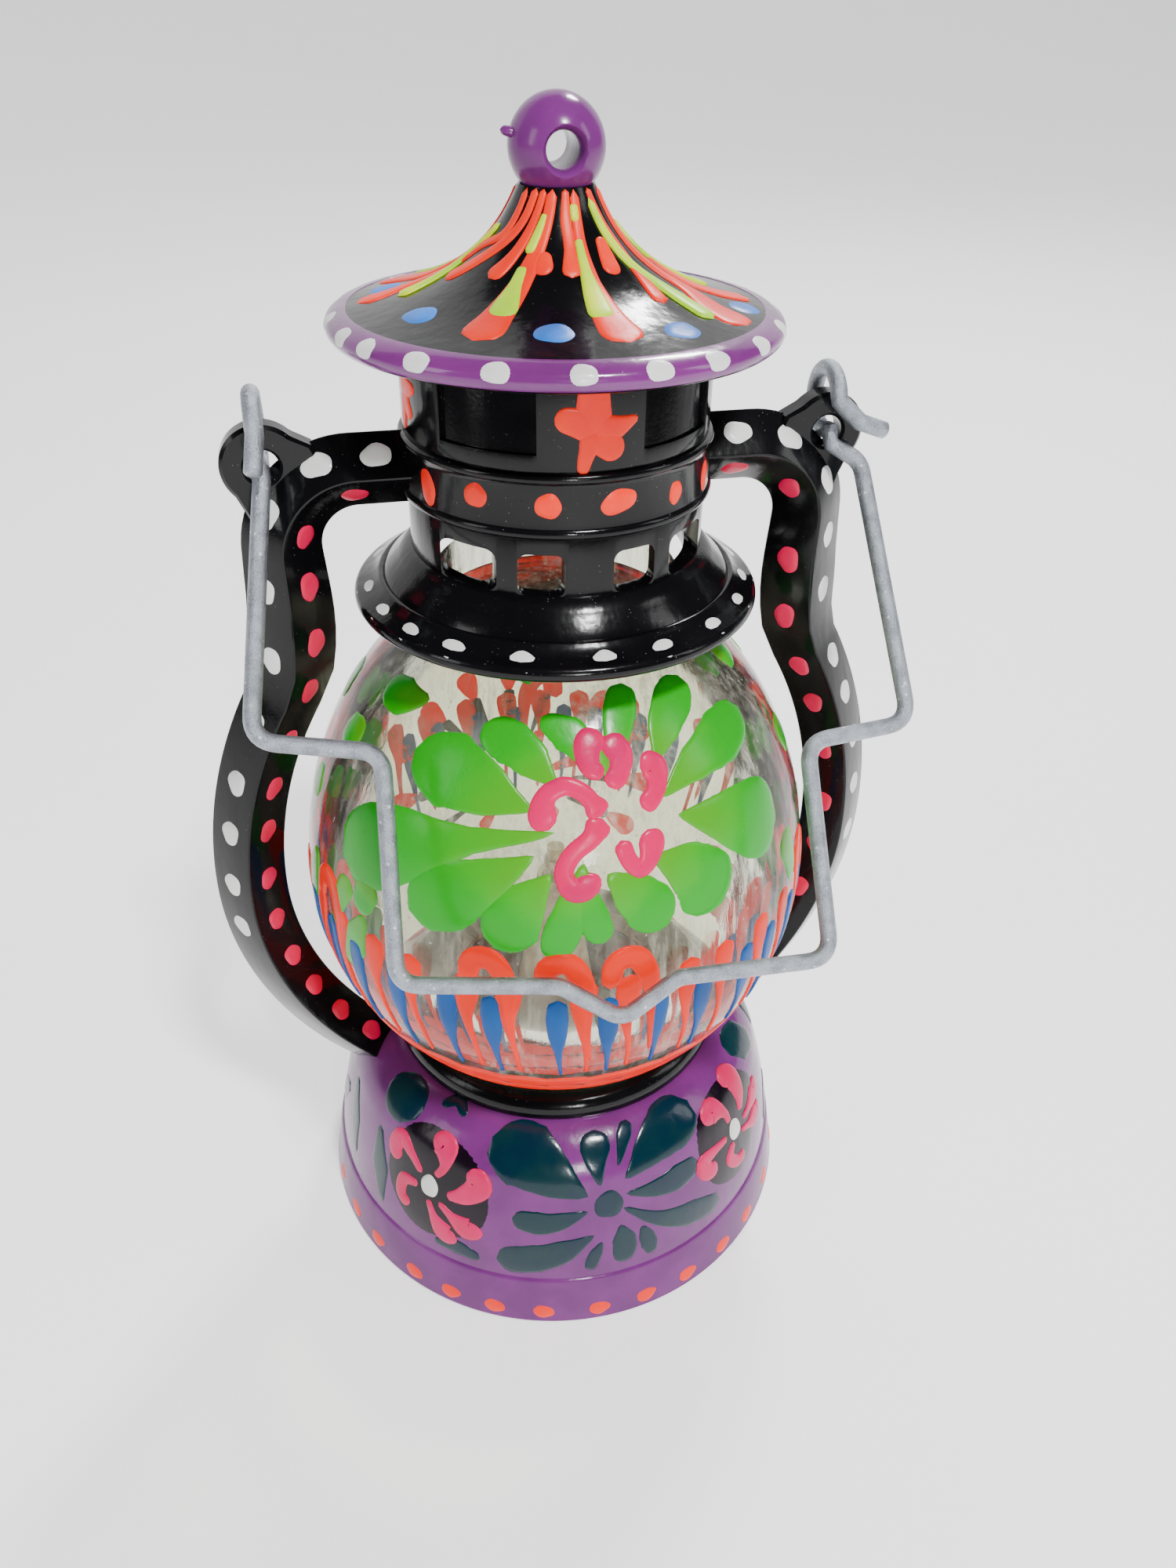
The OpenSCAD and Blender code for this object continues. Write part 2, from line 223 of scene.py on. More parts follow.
def enamel(name, colour, rough=0.16, speck=0.0, mottle=0.12, deep=None, coat=0.5):
    """Glossy brushed paint: soft mottling, brush ripple, pin bubbles and a little dust."""
    made, g = new_material(name)
    base = screen(colour)
    dark = screen(deep) if deep else tuple(c * (1 - 2 * mottle) for c in base[:3]) + (1.0,)
    cloud = g.noise(6.0, detail=3.0).ramp(0.35, 0.65)
    fine = g.noise(0.35, detail=2.0)
    tone = g.mix(cloud * 0.7 + fine * 0.3, dark, base)
    if speck:
        dust = g.grains(0.5).ramp(0.085, 0.04) * g.noise(3.0).ramp(0.42, 0.62)
        tone = g.mix(dust * speck, tone, screen(DUST))
    pits = g.grains(1.7).ramp(0.05, 0.02)
    ripple = g.noise(2.4, stretch=(1, 1, 0.35), detail=2.0)
    bump = g.bump(ripple * 0.5 + fine * 0.05 - pits * 0.3, 0.26, 0.5)
    shader = g.node("ShaderNodeBsdfPrincipled", {
        "Base Color": tone, "Roughness": cloud * 0.05 + fine * 0.06 + rough,
        "Coat Weight": coat, "Coat Roughness": 0.04, "Normal": bump,
        "Specular IOR Level": PAINT_GLOSS})
    surface(g, shader)
    return made


def thin_paint(name, colour, thin_colour, see=0.45):
    """Translucent glass paint, thick at the round end of each stroke and thin at its tail."""
    made, g = new_material(name)
    along = g.along()
    cloud = g.noise(4.0, detail=3.0)
    body = (along * 1.25 + cloud * 0.5 - 0.2).ramp(0.1, 0.85)
    streak = g.noise(0.5, stretch=(1, 1, 0.12), detail=3.0)
    tone = g.mix(body, screen(thin_colour), screen(colour))
    pits = g.grains(1.5).ramp(0.06, 0.03)
    tone = g.mix(pits * 0.5, tone, screen((10, 70, 25)))
    bump = g.bump(cloud * 0.6 + streak * 0.15 - pits * 0.4, 0.15, 0.6)
    paint = g.node("ShaderNodeBsdfPrincipled", {
        "Base Color": tone, "Roughness": streak * 0.1 + 0.2, "Specular IOR Level": 0.25,
        "Normal": bump})
    clear = g.node("ShaderNodeBsdfTransparent", {"Color": screen(thin_colour)})
    cover = body.ramp(0.0, 0.75, 1 - see, 0.96)
    surface(g, g.node("ShaderNodeMixShader", {0: cover, 1: clear, 2: paint}))
    return made


def glass_paint(name, colour, deep, painted_glow=0.0):
    """Thin glossy paint on glass, a little lit from behind through a translucent layer, with a painted glow
    in its emission that stands in for that backlight.
    """
    made, g = new_material(name)
    tone = g.mix(g.noise(4.0, stretch=(1, 1, 0.4), detail=3.0), screen(colour), screen(deep))
    front = g.node("ShaderNodeBsdfPrincipled", {
        "Base Color": tone, "Roughness": g.noise(3.0) * 0.08 + 0.2, "Specular IOR Level": 0.22,
        # The emission is a painted glow: colour lit as if by light shining through the glass from behind.
        "Emission Color": tone, "Emission Strength": painted_glow,
        "Normal": g.bump(g.noise(1.2, detail=3.0), 0.1, 0.4)})
    back = g.node("ShaderNodeBsdfTranslucent", {"Color": tone})
    surface(g, g.node("ShaderNodeMixShader", {0: 0.42, 1: front, 2: back}))
    return made


def globe_glass(name):
    """Old pressed glass: a grey-olive tint, brushed film in upright streaks, seeds and ripples, and a
    painted glow in the film.
    """
    made, g = new_material(name)
    streak = g.noise(0.9, stretch=(1, 1, 0.05), detail=4.0, rough=0.65)
    broad = g.noise(9.0, stretch=(1, 1, 0.5), detail=2.0)
    wave = g.noise(5.0, stretch=(1, 1, 0.6), detail=1.0)
    seeds = g.grains(1.5).ramp(0.09, 0.05)
    ring = g.grains(1.5).ramp(0.12, 0.09) - seeds
    bump = g.bump(wave * 1.6 + streak * 0.15 + seeds * 0.6, 0.25, 0.7)
    film = streak.ramp(0.42, 0.72) * broad.ramp(0.3, 0.7) * 0.4 + 0.06
    film = film + ring * 0.25
    # The haze film has a pale emission: a painted glow standing in for light scattered in the brushed film.
    haze = g.node("ShaderNodeBsdfPrincipled", {
        "Base Color": g.mix(broad, screen((214, 212, 196)), screen((186, 186, 166))),
        "Roughness": streak * 0.2 + 0.25, "Normal": bump,
        "Emission Color": screen((206, 206, 182)), "Emission Strength": 0.22})
    clear = g.node("ShaderNodeBsdfTransparent", {
        "Color": g.mix(streak, screen((238, 239, 226)), screen((248, 248, 240)))})
    gloss = g.node("ShaderNodeBsdfGlossy", {
        "Color": screen((250, 250, 250)), "Roughness": 0.03, "Normal": bump})
    rim = g.node("ShaderNodeFresnel", {"IOR": 1.22, "Normal": bump})
    body = g.node("ShaderNodeMixShader", {0: film, 1: clear, 2: haze})
    surface(g, g.node("ShaderNodeMixShader", {0: rim, 1: body, 2: gloss}))
    return made


def bare_metal(name, colour, rough=0.4, grain=0.6, metallic=0.85, spots=0.0):
    """Tinned, zinced or galvanised metal: spangle, fine grain and a few dull spots."""
    made, g = new_material(name)
    fine = g.noise(0.16, detail=3.0, rough=0.7)
    spangle = g.noise(1.6, detail=3.0)
    base = screen(colour)
    dull = tuple(c * 0.55 for c in base[:3]) + (1.0,)
    tone = g.mix((fine * 0.55 + spangle * 0.45).ramp(0.35, 0.6), dull, base)
    if spots:
        tone = g.mix(g.grains(1.1).ramp(0.2, 0.05) * spots, tone, screen((235, 236, 238)))
    bump = g.bump(fine * grain + spangle * 0.3, 0.06, 0.8)
    surface(g, g.node("ShaderNodeBsdfPrincipled", {
        "Base Color": tone, "Metallic": metallic, "Roughness": fine * 0.2 + rough,
        "Normal": bump}))
    return made


def soft_stuff(name, colour, size):
    """Cotton or cork: matt, grainy and a little uneven in colour."""
    made, g = new_material(name)
    grain = g.noise(size, detail=4.0, rough=0.7)
    base = screen(colour)
    dark = tuple(c * 0.5 for c in base[:3]) + (1.0,)
    surface(g, g.node("ShaderNodeBsdfPrincipled", {
        "Base Color": g.mix(grain.ramp(0.3, 0.6), dark, base), "Roughness": 0.9,
        "Normal": g.bump(grain, 0.2, 1.0)}))
    return made


def plain_floor(name):
    made, g = new_material(name)
    grain = g.noise(40.0, detail=2.0)
    surface(g, g.node("ShaderNodeBsdfPrincipled", {
        "Base Color": g.mix(grain, screen((240, 240, 240)), screen((244, 244, 244))),
        "Roughness": 0.6, "Emission Color": (1.0, 1.0, 1.0, 1.0), "Emission Strength": 0.8}))
    return made


black = enamel("black_enamel", BLACK, rough=0.1, speck=0.5, mottle=0.1, coat=0.0)
purple = enamel("purple_enamel", PURPLE, rough=0.14, mottle=0.1, deep=(96, 36, 100), coat=0.1)
rim_purple = enamel("rim_purple", (116, 44, 118), rough=0.16, mottle=0.08, deep=(98, 36, 100))
orange = enamel("orange_paint", ORANGE, rough=0.3, deep=(236, 18, 0), coat=0.0)
lime = enamel("lime_paint", LIME, rough=0.3, deep=(150, 214, 0), coat=0.0)
sky = enamel("sky_paint", SKY, rough=0.3, deep=(28, 96, 180), coat=0.0)
hot_pink = enamel("hot_pink_paint", HOT_PINK, rough=0.28, deep=(196, 0, 76), coat=0.0)
rose = enamel("rose_paint", ROSE, rough=0.32, deep=(200, 2, 52), coat=0.1)
cream = enamel("cream_paint", CREAM, rough=0.3, deep=(205, 208, 204), coat=0.2)
bottle = enamel("bottle_green_paint", BOTTLE, rough=0.14, deep=(4, 32, 50), coat=0.1)
disc_black = enamel("flower_black_paint", (20, 4, 22), rough=0.14, deep=(10, 4, 12), coat=0.0)
leaf = thin_paint("leaf_paint", LEAF, LEAF_THIN, see=0.22)
# The glow values on the glass paints below are painted glow, standing in for light coming through the
# glass.
back_orange = glass_paint("inside_orange_paint", (255, 16, 0), (240, 24, 4), painted_glow=0.6)
back_blue = thin_paint("inside_blue_paint", (20, 52, 80), (110, 128, 140), see=0.75)
glass_orange = glass_paint("glass_orange_paint", ORANGE, (236, 30, 0), painted_glow=0.35)
glass_blue = glass_paint("glass_blue_paint", BLUE, (14, 76, 150), painted_glow=0.25)
glass_pink = glass_paint("glass_pink_paint", (250, 0, 118), (240, 0, 98), painted_glow=0.15)
glass = globe_glass("globe_glass")
wire_zinc = bare_metal("galvanised_wire", (168, 174, 182), rough=0.28, grain=2.4,
                       metallic=0.9, spots=0.7)
tin = bare_metal("tinplate", (214, 211, 198), rough=0.45, grain=0.4, metallic=0.2)
screw_zinc = bare_metal("zinc_screws", (190, 190, 190), rough=0.3)
cotton = soft_stuff("cotton_wick", (235, 228, 205), 0.3)
cork = soft_stuff("cork_seat", (150, 110, 70), 0.8)
cover_paint = enamel("cover_black", (26, 26, 28), rough=0.45, speck=0.3, coat=0.0)

# ---------------------------------------------------------------- meshes


def linked(name, data):
    """A new object for the data, in the scene."""
    made = bpy.data.objects.new(name, data)
    bpy.context.scene.collection.objects.link(made)
    return made


def closed_mesh(name, points, faces, along=None):
    """A mesh from points in millimetres, with its faces turned outwards."""
    mesh = bpy.data.meshes.new(name)
    mesh.from_pydata([tuple(float(c) * MM for c in p) for p in points], [], faces)
    solid = bmesh.new()
    solid.from_mesh(mesh)
    bmesh.ops.recalc_face_normals(solid, faces=solid.faces)
    solid.to_mesh(mesh)
    solid.free()
    if along is not None:
        layer = mesh.attributes.new("along", "FLOAT", "POINT")
        layer.data.foreach_set("value", [float(a) for a in along])
    return mesh


def piece(name, points, faces, material, body="lamp", stands_for=(), along=None, sharp=32):
    """A mesh object from points in millimetres, smooth except at its sharp edges."""
    mesh = closed_mesh(name, points, faces, along)
    return settle(name, mesh, material, body, stands_for, sharp)


def settle(name, mesh, material, body, stands_for=(), sharp=32):
    """Puts the mesh in the scene on its body, with its material."""
    mesh.shade_smooth()
    mesh.set_sharp_from_angle(angle=math.radians(sharp))
    mesh.materials.clear()
    mesh.materials.append(material)
    made = linked(name, mesh)
    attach(made, body)
    if stands_for:
        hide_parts(*stands_for)
    return made


def arc(cx, cy, r, start, end, steps=12):
    return [(cx + r * math.cos(math.radians(start + (end - start) * i / steps)),
             cy + r * math.sin(math.radians(start + (end - start) * i / steps)))
            for i in range(steps + 1)]


def lathe(profile, closed=False, segments=192):
    """Points and faces of a half profile [(radius, height)] turned about the Z axis."""
    points, rows, faces = [], [], []
    for r, z in profile:
        if r < 1e-6:
            rows.append([len(points)])
            points.append((0.0, 0.0, z))
        else:
            rows.append(list(range(len(points), len(points) + segments)))
            for k in range(segments):
                a = 2 * math.pi * k / segments
                points.append((r * math.sin(a), -r * math.cos(a), z))
    pairs = list(zip(rows, rows[1:] + rows[:1])) if closed else list(zip(rows, rows[1:]))
    for low, high in pairs:
        for k in range(segments):
            n = (k + 1) % segments
            ring = [low[k % len(low)], low[n % len(low)], high[n % len(high)], high[k % len(high)]]
            ring = list(dict.fromkeys(ring))
            if len(ring) > 2:
                faces.append(ring)
    return points, faces


def cut(mesh_parts, cutters, bevel=0.0):
    """The mesh with the cutters taken out and its edges eased."""
    body = linked("cut_body", closed_mesh("cut_body", *mesh_parts))
    tools = [linked("cut_tool", closed_mesh("cut_tool", *c)) for c in cutters]
    for tool in tools:
        step = body.modifiers.new("cut", "BOOLEAN")
        step.operation = "DIFFERENCE"
        step.solver = "EXACT"
        step.object = tool
    if bevel:
        ease = body.modifiers.new("ease", "BEVEL")
        ease.width = bevel * MM
        ease.segments = 2
        ease.limit_method = "ANGLE"
        ease.angle_limit = math.radians(40)
    graph = bpy.context.evaluated_depsgraph_get()
    mesh = bpy.data.meshes.new_from_object(body.evaluated_get(graph))
    for o in [body] + tools:
        bpy.data.objects.remove(o)
    return mesh


def prism(outline, low, high, plane="xz"):
    """A straight prism: the outline in one plane, drawn out from low to high."""
    points = []
    for t in (low, high):
        points += [(x, t, z) if plane == "xz" else (x, z, t) for x, z in outline]
    n = len(outline)
    sides = [(k, (k + 1) % n, n + (k + 1) % n, n + k) for k in range(n)]
    return points, [list(range(n)), list(range(n, 2 * n))] + sides


def smooth_path(points, steps):
    """A Catmull-Rom curve through the points."""
    p = [np.array(q, float) for q in points]
    if len(p) == 2:
        return [p[0] + (p[1] - p[0]) * i / steps for i in range(steps + 1)]
    p = [2 * p[0] - p[1]] + p + [2 * p[-1] - p[-2]]
    spans = len(p) - 3
    out = []
    for i in range(steps + 1):
        s = min(i / steps * spans, spans - 1e-9)
        k, t = int(s), s - int(s)
        a, b, c, d = p[k:k + 4]
        out.append(0.5 * (2 * b + (c - a) * t + (2 * a - 5 * b + 4 * c - d) * t * t
                          + (3 * b - a - 3 * c + d) * t ** 3))
    return out


class Turned:
    """A turned surface that paint can lie on, met by height or by radius."""

    def __init__(self, profile, by="height"):
        self.p = np.array(profile, float)
        d = np.diff(self.p, axis=0)
        n = np.stack([d[:, 1], -d[:, 0]], 1)
        n /= np.linalg.norm(n, axis=1)[:, None]
        corner = np.vstack([n[:1], n[:-1] + n[1:], n[-1:]])
        self.n = corner / np.linalg.norm(corner, axis=1)[:, None]
        self.by = by

    def at(self, azimuth, level):
        """The point at an azimuth in degrees (0 in front, 90 to the right) and a level."""
        if self.by == "height":
            r = float(np.interp(level, self.p[:, 1], self.p[:, 0]))
            z = level
        else:
            r = level
            z = float(np.interp(level, self.p[::-1, 0], self.p[::-1, 1]))
        a = math.radians(azimuth)
        return np.array([r * math.sin(a), -r * math.cos(a), z])

    def meet(self, point):
        """The nearest point of the surface and the normal there."""
        r, z = math.hypot(point[0], point[1]), point[2]
        a, b = self.p[:-1], self.p[1:]
        d = b - a
        q = np.array([r, z])
        t = np.clip(((q - a) * d).sum(1) / (d * d).sum(1), 0, 1)
        foot = a + d * t[:, None]
        k = int(np.argmin(((foot - q) ** 2).sum(1)))
        n = self.n[k] * (1 - t[k]) + self.n[k + 1] * t[k]
        n /= np.linalg.norm(n)
        c, s = (point[0] / r, point[1] / r) if r > 1e-9 else (1.0, 0.0)
        return (np.array([foot[k][0] * c, foot[k][0] * s, foot[k][1]]),
                np.array([n[0] * c, n[0] * s, n[1]]))


class Flat:
    """A flat facet that paint can lie on."""

    def __init__(self, origin, normal):
        self.origin = np.array(origin, float)
        self.normal = np.array(normal, float) / np.linalg.norm(normal)

    def meet(self, point):
        away = (point - self.origin) @ self.normal
        return point - self.normal * away, self.normal


class Brush:
    """Collects raised strokes and dots of one colour into one closed mesh each."""

    def __init__(self, seed=1):
        self.points, self.faces, self.along = [], [], []
        self.random = random.Random(seed)

    def stroke(self, skin, spine, widths, thick=0.22, sink=0.06, steps=18, across=8,
               ragged=0.0):
        """A domed stroke along [(azimuth, level)], with half widths given along it."""
        route = smooth_path(spine, steps)
        line = [skin.at(a, v) for a, v in route] if isinstance(skin, Turned) else route
        self.sweep(skin, line, widths, thick, sink, across, ragged)

    def sweep(self, skin, line, widths, thick, sink, across, ragged):
        n = len(line)
        length = [0.0]
        for a, b in zip(line, line[1:]):
            length.append(length[-1] + float(np.linalg.norm(b - a)))
        total = length[-1]
        top, bottom, marks = [], [], []
        wobble = 1.0
        for i, p in enumerate(line):
            s = length[i] / total
            w = float(np.interp(s, np.linspace(0, 1, len(widths)), widths))
            cap0 = min(1.0, length[i] / max(widths[0], 0.2))
            cap1 = min(1.0, (total - length[i]) / max(widths[-1], 0.2))
            round_end = math.sqrt(max(0.0, 1 - (1 - cap0) ** 2)) * math.sqrt(
                max(0.0, 1 - (1 - cap1) ** 2))
            round_end = max(round_end, 0.03)
            wobble = 1 + ragged * self.random.uniform(-1, 1)
            foot, normal = skin.meet(p)
            ahead = line[min(i + 1, n - 1)] - line[max(i - 1, 0)]
            side = np.cross(normal, ahead)
            side /= max(np.linalg.norm(side), 1e-9)
            for j in range(across + 1):
                u = -math.cos(math.pi * j / across)
                q = foot + side * (u * w * round_end * (wobble if abs(u) > 0.8 else 1))
                q, m = skin.meet(q)
                rise = thick * round_end * math.sqrt(max(0.0, 1 - u ** 4))
                top.append(q + m * (rise - sink * 0.2))
                bottom.append(q - m * sink)
                marks.append(s)
        start = len(self.points)
        k = across + 1
        self.points += top + bottom
        self.along += marks + marks
        under = start + n * k
        for i in range(n - 1):
            for j in range(across):
                a = i * k + j
                self.faces.append([start + a, start + a + 1, start + a + k + 1, start + a + k])
                self.faces.append([under + a, under + a + k, under + a + k + 1, under + a + 1])
            for j in (0, across):
                a = i * k + j
                self.faces.append([start + a, start + a + k, under + a + k, under + a])
        for j in range(across):
            for i in (0, n - 1):
                a = i * k + j
                self.faces.append([start + a, start + a + 1, under + a + 1, under + a])

    def dot(self, skin, centre, wide, tall, thick=0.2, sink=0.06, lean=0.0, odd=0.04,
            rings=4, around=24):
        """A domed dot at (azimuth, level) or at a point; lean turns its long axis."""
        middle = skin.at(*centre) if isinstance(skin, Turned) else np.array(centre, float)
        middle, normal = skin.meet(middle)
        east = np.cross(np.array([0.0, 0.0, 1.0]), normal)
        if np.linalg.norm(east) < 1e-6:
            east = np.array([1.0, 0.0, 0.0])
        east /= np.linalg.norm(east)
        north = np.cross(normal, east)
        c, s = math.cos(math.radians(lean)), math.sin(math.radians(lean))
        east, north = east * c + north * s, north * c - east * s
        phase = self.random.uniform(0, 6.28)
        start = len(self.points)
        self.points += [middle + normal * thick, middle - normal * sink]
        self.along += [1.0, 1.0]
        for ring in range(1, rings + 1):
            rho = ring / rings
            for t in range(around):
                a = 2 * math.pi * t / around
                lump = 1 + odd * math.sin(3 * a + phase) + odd * 0.6 * math.sin(5 * a + 2 * phase)
                q = middle + rho * lump * (east * wide * math.cos(a) + north * tall * math.sin(a))
                q, m = skin.meet(q)
                self.points.append(q + m * (thick * math.sqrt(max(0.0, 1 - rho ** 3)) - sink * 0.2))
                self.along.append(1.0)
        edge = start + 2 + (rings - 1) * around
        low = len(self.points)
        for t in range(around):
            q, m = skin.meet(self.points[edge + t])
            self.points.append(q - m * sink)
            self.along.append(1.0)
        for t in range(around):
            n = (t + 1) % around
            self.faces.append([start, start + 2 + t, start + 2 + n])
            for ring in range(rings - 1):
                a = start + 2 + ring * around
                self.faces.append([a + t, a + around + t, a + around + n, a + n])
            self.faces.append([edge + t, low + t, low + n, edge + n])
            self.faces.append([start + 1, low + n, low + t])

    def finish(self, name, material, body="lamp", finish=None):
        return piece(name, self.points, self.faces, material, body, along=self.along, sharp=60)


# ---------------------------------------------------------------- repeats with Geometry Nodes

def socket_of(tree, name):
    for item in tree.interface.items_tree:
        if item.name == name and item.in_out == "INPUT":
            return item.identifier
    raise KeyError(name)


def tree_with(name, inputs):
    """A tree with one input for each (label, kind), and a function that gives an input's wire."""
    tree = bpy.data.node_groups.new(name, "GeometryNodeTree")
    for label, kind in inputs:
        tree.interface.new_socket(label, in_out="INPUT", socket_type="NodeSocket" + kind)
    tree.interface.new_socket("Geometry", in_out="OUTPUT", socket_type="NodeSocketGeometry")
    g = Graph(tree)
    entry = tree.nodes.new("NodeGroupInput")
    return tree, g, lambda label: Wire(g, entry.outputs[label])


def stray(g, given, label):
    """A random turn of up to the labelled input, either way."""
    return g.node("FunctionNodeRandomValue", {
        "Min": given(label) * -1.0, "Max": given(label), "Seed": given("Seed")}, out=1)


def copies_on(g, given, points, placing):
    """Copies of the source on the points, made real and given the material."""
    source = g.node("GeometryNodeObjectInfo", {"Object": given("Source")}, out="Geometry")
    copies = g.node("GeometryNodeInstanceOnPoints", {
        "Points": points, "Instance": source, **placing})
    real = g.node("GeometryNodeRealizeInstances", {"Geometry": copies})
    painted = g.node("GeometryNodeSetMaterial", {"Geometry": real, "Material": given("Material")})
    g.node("NodeGroupOutput", {"Geometry": painted})


def turned_by(g, angles):
    return g.node("FunctionNodeEulerToRotation", {"Euler": angles})


def spin_tree():
    """A tree that sets copies of a source round the Z axis, with a little jitter."""
    tree, g, given = tree_with("spin_round", [
        ("Geometry", "Geometry"), ("Source", "Object"), ("Count", "Int"), ("Start", "Float"),
        ("Jitter", "Float"), ("Seed", "Int"), ("Material", "Material")])
    line = g.node("GeometryNodeMeshLine", {
        "Count": given("Count"), "Offset": (0.0, 0.0, 0.0)})
    index = g.node("GeometryNodeInputIndex")
    turn = index * (2 * math.pi) / given("Count") + given("Start") + stray(g, given, "Jitter")
    angles = g.node("ShaderNodeCombineXYZ", {"Z": turn})
    copies_on(g, given, line, {"Rotation": turned_by(g, angles)})
    return tree


def scatter_tree():
    """A tree that sets a source on each host point, turned and sized by the point."""
    tree, g, given = tree_with("scatter_dots", [
        ("Geometry", "Geometry"), ("Source", "Object"), ("Lean", "Float"), ("Seed", "Int"),
        ("Material", "Material")])
    turn, size = (g.node("GeometryNodeInputNamedAttribute", {"Name": name},
                         data_type="FLOAT_VECTOR") for name in ("turn", "size"))
    lean = turned_by(g, g.node("ShaderNodeCombineXYZ", {"Z": stray(g, given, "Lean")}))
    both = g.node("FunctionNodeRotateRotation", {
        "Rotation": turned_by(g, turn), "Rotate By": lean}, rotation_space="LOCAL")
    copies_on(g, given, given("Geometry"), {"Rotation": both, "Scale": size})
    return tree


def grown(tree, host, values, name, material, body):
    """Runs the tree on the host mesh and keeps the result as one piece."""
    holder = linked("grow_host", host)
    step = holder.modifiers.new("grow", "NODES")
    step.node_group = tree
    for key, value in values.items():
        step[socket_of(tree, key)] = value
    step[socket_of(tree, "Material")] = material
    holder.update_tag()
    graph = bpy.context.evaluated_depsgraph_get()
    mesh = bpy.data.meshes.new_from_object(holder.evaluated_get(graph))
    mesh.name = name
    bpy.data.objects.remove(holder)
    bpy.data.objects.remove(values["Source"])
    return settle(name, mesh, material, body, sharp=60)


def loose_source(brush, name):
    """The brush's mesh as a loose source object for a tree."""
    return linked(name, closed_mesh(name, brush.points, brush.faces, brush.along))


SPIN = spin_tree()
SCATTER = scatter_tree()


def spun(brush, count, name, material, body, start=0.0, jitter=0.0, seed=1):
    host = bpy.data.meshes.new("spin_host")
    host.from_pydata([(0, 0, 0)], [], [])
    values = {"Source": loose_source(brush, name + "_source"), "Count": count,
              "Start": math.radians(start), "Jitter": math.radians(jitter), "Seed": seed}
    return grown(SPIN, host, values, name, material, body)


def scattered(places, name, material, body="lamp", seed=1, lean=0.35):
    """Unit dots at [(point, normal, along, wide, tall, thick)] in millimetres."""
    dot = Brush(seed)
    dot.dot(Flat((0, 0, 0), (0, 0, 1)), (0, 0, 0), 1.0, 1.0, thick=1.0, sink=0.35, odd=0.05)
    host = bpy.data.meshes.new("scatter_host")
    host.from_pydata([tuple(float(c) * MM for c in p[0]) for p in places], [], [])
    turns, sizes = [], []
    for _, normal, run, wide, tall, thick in places:
        z = Vector(normal).normalized()
        y = (Vector(run) - z * Vector(run).dot(z)).normalized()
        x = y.cross(z)
        turns += list(Matrix((x, y, z)).transposed().to_euler())
        sizes += [wide, tall, thick]
    for key, data in (("turn", turns), ("size", sizes)):
        host.attributes.new(key, "FLOAT_VECTOR", "POINT").data.foreach_set("vector", data)
    values = {"Source": loose_source(dot, name + "_source"), "Lean": lean, "Seed": seed}
    return grown(SCATTER, host, values, name, material, body)


# ---------------------------------------------------------------- base

def base_side(t=0.0):
    side = [(BASE_R - 1.55 - 0.1 * (z - 7.1) - 0.0088 * (z - 7.1) ** 2 - t, z)
            for z in np.linspace(7.1, 18.0, 12)]
    return side + arc(18.3, BASE_H - 9, 9.5 - t, 17, 71.3, 20)


BASE_FOOT = [(BASE_R - 0.35, 0.0), (BASE_R - 0.1, 0.25), (BASE_R - 0.3, 1.0),
             (BASE_R - 1.15, BAND_H - 0.4), (BASE_R - 1.35, BAND_H)]
base_skin = Turned(BASE_FOOT + base_side() + [(18.0, BASE_H)])


def make_base():
    cover_r = BASE_R - 2.1
    inner = ([(cover_r, 0.0), (cover_r, 1.2), (cover_r - 1.2, 1.2), (cover_r - 1.2, 3.0)]
             + base_side(METAL_T) + [(14.1, BASE_H - METAL_T), (14.1, BASE_H)])
    outer = BASE_FOOT + base_side()
    points, faces = lathe(inner + outer[::-1], closed=True, segments=256)
    piece("base_casting", points, faces, purple, "lamp", ["base_shell"])


def base_flower(turn):
    """The big dark flower: long petals round a dark eye. Rows are tip, bend, end, half widths."""
    petals = Brush(3)
    rows = [((-4, 19.4), (-19, 23.6), (-31, 24.9), [0.3, 2.4, 3.8, 3.0]),
            ((-0.8, 20.6), (-1.4, 23.4), (-0.5, 25.6), [0.2, 0.9, 1.6, 1.4]),
            ((4.4, 22.4), (7, 24.4), (10, 25.7), [0.15, 0.5, 0.8, 0.6]),
            ((5.7, 20.8), (16, 23.3), (31.5, 24.9), [0.2, 1.9, 3.1, 2.8]),
            ((5.7, 18.8), (16.5, 18.0), (27.5, 18.4), [0.2, 1.0, 1.7, 1.2]),
            ((4.7, 17.0), (16, 13.0), (33.5, 9.8), [0.25, 0.9, 1.7, 1.2]),
            ((9.2, 13.4), (10.8, 10.6), (11.7, 8.3), [0.3, 0.9, 1.0, 0.5]),
            ((3.8, 14.6), (4.6, 11.4), (4.2, 8.4), [0.2, 1.3, 1.4, 1.0]),
            ((-1.0, 12.6), (-3.0, 10.4), (-4.2, 8.2), [0.15, 0.7, 0.8, 0.6]),
            ((-2.8, 13.8), (-14, 10.9), (-26.5, 9.6), [0.2, 1.6, 2.0, 1.7]),
            ((-4.2, 17.4), (-14, 16.0), (-23, 16.4), [0.2, 1.1, 1.5, 1.1])]
    for tip, bend, end, widths in rows:
        spine = [(a + turn, z) for a, z in (tip, bend, end)]
        fat = [w * (1.05 if k == 0 else 1.18) for k, w in enumerate(widths)]
        petals.stroke(base_skin, spine, fat, thick=0.12, across=10, ragged=0.02)
    petals.dot(base_skin, (1.1 + turn, 17.9), 1.9, 2.0, thick=0.14)
    return petals


